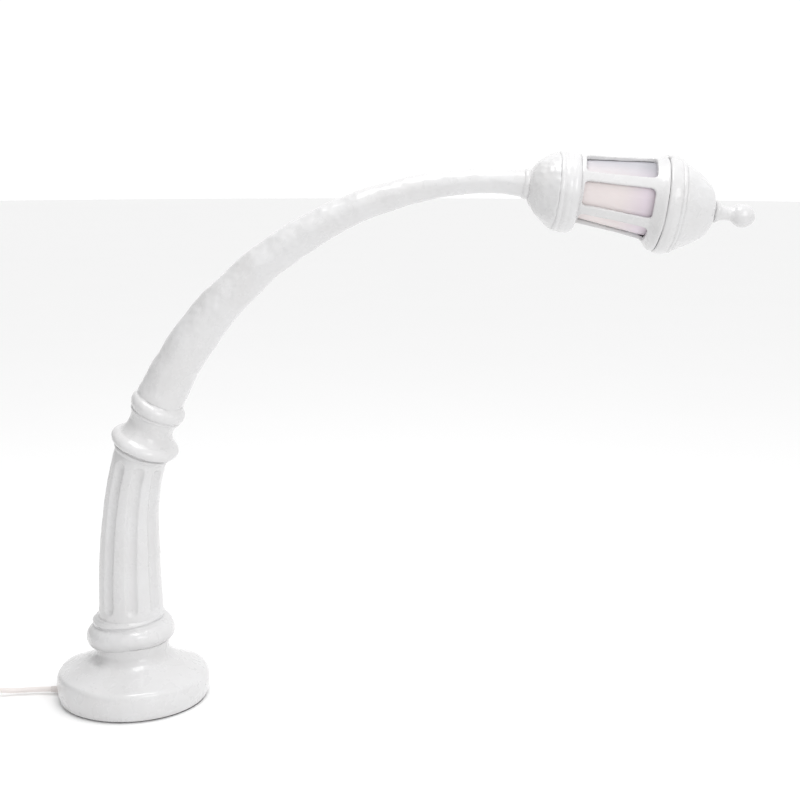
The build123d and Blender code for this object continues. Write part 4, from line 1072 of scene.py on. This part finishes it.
def make_cap(sizes, finishes):
    """The pull-off cap: a lip, a slope, a double bead and a peened dome, hollow inside, with its finial."""
    outline = arc(*scaled((60.3, 175.25), (62.4, 176.1), (63.3, 178.6)), MM)
    outline += through(scaled((63.3, 178.6), (63.7, 183), (63.0, 187.4), (61.8, 190.8), (60.0, 192.4)), MM)
    outline += arc(*scaled((60.0, 192.4), (60.7, 195.1), (57.0, 198.0)), MM)
    dome = scaled((57.0, 198.0), (57.3, 199.8), (54.4, 205.5), (50.6, 212.4), (46.0, 220))
    outline += through(dome + scaled((40.4, 228.6), (33.2, 236.6), (24, 242.4), (14.8, 245.6)))
    outline += chain(
        (14.8, 245.6), (3.2, 246.2, 3), (3.2, 242, 3), (13, 241.4, 3), (33, 230, 3), (49.5, 204, 3), (55.6, 190, 3),
        (56.5, 175.6, 3), (60.3, 175.25, 3),
    )
    flat = upright(LANTERN, lambda h: CAP_LEAN)

    def place(along, radius, angle):
        lip = 1 - smooth_step(along, CAP_FROM, CAP_FROM + LIP_LENGTH)
        gape = sizes.gape * max(0.0, math.cos((angle - GAPE_TURN) * 0.5)) ** 6
        off = (angle - NOTCH_TURN + math.pi) % math.tau - math.pi
        on_edge = along < CAP_FROM + CAP_EDGE
        notch = CAP_NOTCH_DEPTH * max(0.0, 1 - abs(off) * radius / NOTCH_REACH) if on_edge else 0.0
        return flat(along + lip * gape + notch, radius, angle)

    cap = skin("cap_casting", outline, place, sizes.sides + 24)
    lip_face = LANTERN.inverted()
    work_by_hand(
        cap, sizes.swell * 0.9, 21 * MM, sizes.dent * 0.7, 7.2 * MM, 10, sizes.peen,
        hold=lambda p: 1 - smooth_step((lip_face @ p).z, 177 * MM, 190 * MM),
    )
    settle_white(cap, finishes, "lantern_cap", "cap")

    outline = [Vector((0, FINIAL_LOW))] + run(*scaled((0.5, 246.2), (12.6, 246.2)), 3 * MM)
    outline += arc(*scaled((12.6, 246.2), (14.3, 249.6), (12.4, 253.2)), 0.8 * MM)
    stem = scaled((12.4, 253.2), (10.6, 255.2), (9.4, 259), (8.1, 264), (7.9, 268), (9.2, 271.4), (10.2, 273))
    outline += through(stem, MM)
    outline += arc(*scaled((10.2, 273), (15.2, 284.6), (0, 299.9)), MM)
    outline.append(Vector((0, FINIAL_TIP)))
    finial = skin("finial_casting", outline, upright(LANTERN), 96)
    work_by_hand(finial, sizes.swell * 0.7, 12 * MM, sizes.dent * 0.7, 5 * MM, 11)
    settle_white(finial, finishes, "finial", "cap")


def add_floor(colours):
    """A round floor, wide enough that its edge never shows."""
    radius, sides = 14.0, 96
    angles = [math.tau * k / sides for k in range(sides)]
    vertices = [(radius * math.cos(a), radius * math.sin(a), 0) for a in angles]
    floor = new_piece("studio_floor", vertices, [tuple(range(sides))])
    floor.data.materials.append(stage_paper("studio_paper", tuple(colours.floor)))


# Each light's place, the point that it faces, and its width and height.
KEY_LIGHT = ((1.5, -1.7, 1.5), (0.2, 0, 0.3), (0.9, 0.9))
TOP_LIGHT = ((0.25, -0.15, 1.95), (0.1, 0, 0.1), (0.9, 0.7))
# Where the even light turns from one level to the other, along the direction of view.
DUSK_SPAN, CEILING_SPAN = (-0.95, -0.3), (0.2, 0.85)


def add_light(name, placing, power):
    """A large rectangular light."""
    place, target, size = placing
    data = bpy.data.lights.new(name, "AREA")
    data.shape = "RECTANGLE"
    data.size, data.size_y = size
    data.energy = power
    light = bpy.data.objects.new(name, data)
    light.location = place
    light.rotation_euler = (Vector(target) - Vector(place)).to_track_quat("-Z", "Y").to_euler()
    bpy.context.scene.collection.objects.link(light)


def add_sky(strength, dusk, overhead):
    """An even white room: its left wall gives dusk times the light of the rest, its ceiling overhead times."""
    world = bpy.data.worlds.new("studio")
    world.use_nodes = True
    tree = world.node_tree
    way = tree.nodes.new("ShaderNodeTexCoord")
    parts = tree.nodes.new("ShaderNodeSeparateXYZ")
    tree.links.new(way.outputs["Generated"], parts.inputs["Vector"])
    falls = []
    for axis, (start, end), low, high in (("X", DUSK_SPAN, dusk, 1.0), ("Z", CEILING_SPAN, 1.0, overhead)):
        fall = tree.nodes.new("ShaderNodeMapRange")
        fall.interpolation_type = "SMOOTHSTEP"
        for key, value in (("From Min", start), ("From Max", end), ("To Min", low), ("To Max", high)):
            fall.inputs[key].default_value = value
        tree.links.new(parts.outputs[axis], fall.inputs["Value"])
        falls.append(fall.outputs["Result"])
    both = tree.nodes.new("ShaderNodeMath")
    both.operation = "MULTIPLY"
    level = tree.nodes.new("ShaderNodeMath")
    level.operation = "MULTIPLY"
    level.inputs[1].default_value = strength
    sky = tree.nodes["Background"]
    sky.inputs["Color"].default_value = (1, 1, 1, 1)
    tree.links.new(falls[0], both.inputs[0])
    tree.links.new(falls[1], both.inputs[1])
    tree.links.new(both.outputs["Value"], level.inputs[0])
    tree.links.new(level.outputs["Value"], sky.inputs["Strength"])
    bpy.context.scene.world = world


# ---------------------------------------------------------------- operators
class LampStep(bpy.types.Operator):
    """A step in building the lamp."""

    bl_options = {"REGISTER", "UNDO"}

    def execute(self, context):
        scene = context.scene
        self.build(scene.lamp_sizes, scene.lamp_colours, scene.lamp_finish)
        return {"FINISHED"}


class LAMP_OT_camera(LampStep):
    """Set the camera at the lamp's usual viewing angle"""

    bl_idname = "lamp.camera"
    bl_label = "Camera"

    def build(self, sizes, colours, finish):
        add_camera()


class LAMP_OT_lead(LampStep):
    """Lay the mains lead with its coil, tie, switch and plug"""

    bl_idname = "lamp.lead"
    bl_label = "Mains lead"

    def build(self, sizes, colours, finish):
        finishes = slot_finishes(colours, finish)
        lead = add_lead(sizes)
        stretches = ("cord_to_switch", "cord_to_coil", "cord_coil", "cord_to_plug")
        settle(lead, finishes["lead_sheath"], "lamp", "lead_sheath", *stretches)
        tie = add_tie()
        settle(tie, finishes["tie_black"], "lamp", "tie_black", "coil_tie")


class LAMP_OT_finishes(LampStep):
    """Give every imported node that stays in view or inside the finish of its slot"""

    bl_idname = "lamp.finishes"
    bl_label = "Finishes"

    def build(self, sizes, colours, finish):
        finishes = slot_finishes(colours, finish)
        for row in frame["record"]["subparts"]:
            node = frame["nodes"][row["node"]]
            node.data.materials.clear()
            node.data.materials.append(finishes[row["material_slot"]])


class CastingStep(LampStep):
    """A step that builds castings."""

    def build(self, sizes, colours, finish):
        self.make(sizes, slot_finishes(colours, finish))


class LAMP_OT_foot(CastingStep):
    """Build the foot's casting and its wiring cover"""

    bl_idname = "lamp.foot"
    bl_label = "Foot"
    make = staticmethod(make_foot)


class LAMP_OT_column(CastingStep):
    """Build the lower moulding, the fluted shaft and the capital"""

    bl_idname = "lamp.column"
    bl_label = "Column"
    make = staticmethod(make_column)


class LAMP_OT_arm(CastingStep):
    """Build the arm"""

    bl_idname = "lamp.arm"
    bl_label = "Arm"
    make = staticmethod(make_arm)


class LAMP_OT_lantern(CastingStep):
    """Build the lantern's collar, bell, main ring and cage"""

    bl_idname = "lamp.lantern"
    bl_label = "Lantern"
    make = staticmethod(make_lantern)


class LAMP_OT_cap(CastingStep):
    """Build the pull-off cap and its finial"""

    bl_idname = "lamp.cap"
    bl_label = "Cap and finial"
    make = staticmethod(make_cap)


class LAMP_OT_stage(LampStep):
    """Set the floor and the studio light"""

    bl_idname = "lamp.stage"
    bl_label = "Stage"

    def build(self, sizes, colours, finish):
        add_floor(colours)
        add_sky(finish.sky, finish.dusk, finish.overhead)
        add_light("key", KEY_LIGHT, finish.key)
        add_light("top", TOP_LIGHT, finish.top)
        bpy.context.scene.view_settings.view_transform = "Standard"


STEPS = (
    LAMP_OT_camera,
    LAMP_OT_lead,
    LAMP_OT_finishes,
    LAMP_OT_foot,
    LAMP_OT_column,
    LAMP_OT_arm,
    LAMP_OT_lantern,
    LAMP_OT_cap,
    LAMP_OT_stage,
)


class LAMP_PT_panel(bpy.types.Panel):
    """Lists the lamp's settings and steps"""

    bl_label = "Lamp"
    bl_space_type = "VIEW_3D"
    bl_region_type = "UI"
    bl_category = "Lamp"

    def draw(self, context):
        for group in (context.scene.lamp_sizes, context.scene.lamp_colours, context.scene.lamp_finish):
            box = self.layout.box()
            for key in group.__annotations__:
                box.prop(group, key)
        for step in STEPS:
            self.layout.operator(step.bl_idname)


GROUPS = {"lamp_sizes": LampSizes, "lamp_colours": LampColours, "lamp_finish": LampFinish}


def register():
    for group in GROUPS.values():
        bpy.utils.register_class(group)
    for step in STEPS:
        bpy.utils.register_class(step)
    bpy.utils.register_class(LAMP_PT_panel)
    for name, group in GROUPS.items():
        setattr(bpy.types.Scene, name, PointerProperty(type=group))


def unregister():
    for name in GROUPS:
        delattr(bpy.types.Scene, name)
    bpy.utils.unregister_class(LAMP_PT_panel)
    for step in reversed(STEPS):
        bpy.utils.unregister_class(step)
    for group in reversed(GROUPS.values()):
        bpy.utils.unregister_class(group)


def main():
    register()
    for step in STEPS:
        group, name = step.bl_idname.split(".")
        getattr(getattr(bpy.ops, group), name)()


if __name__ == "__main__":
    main()
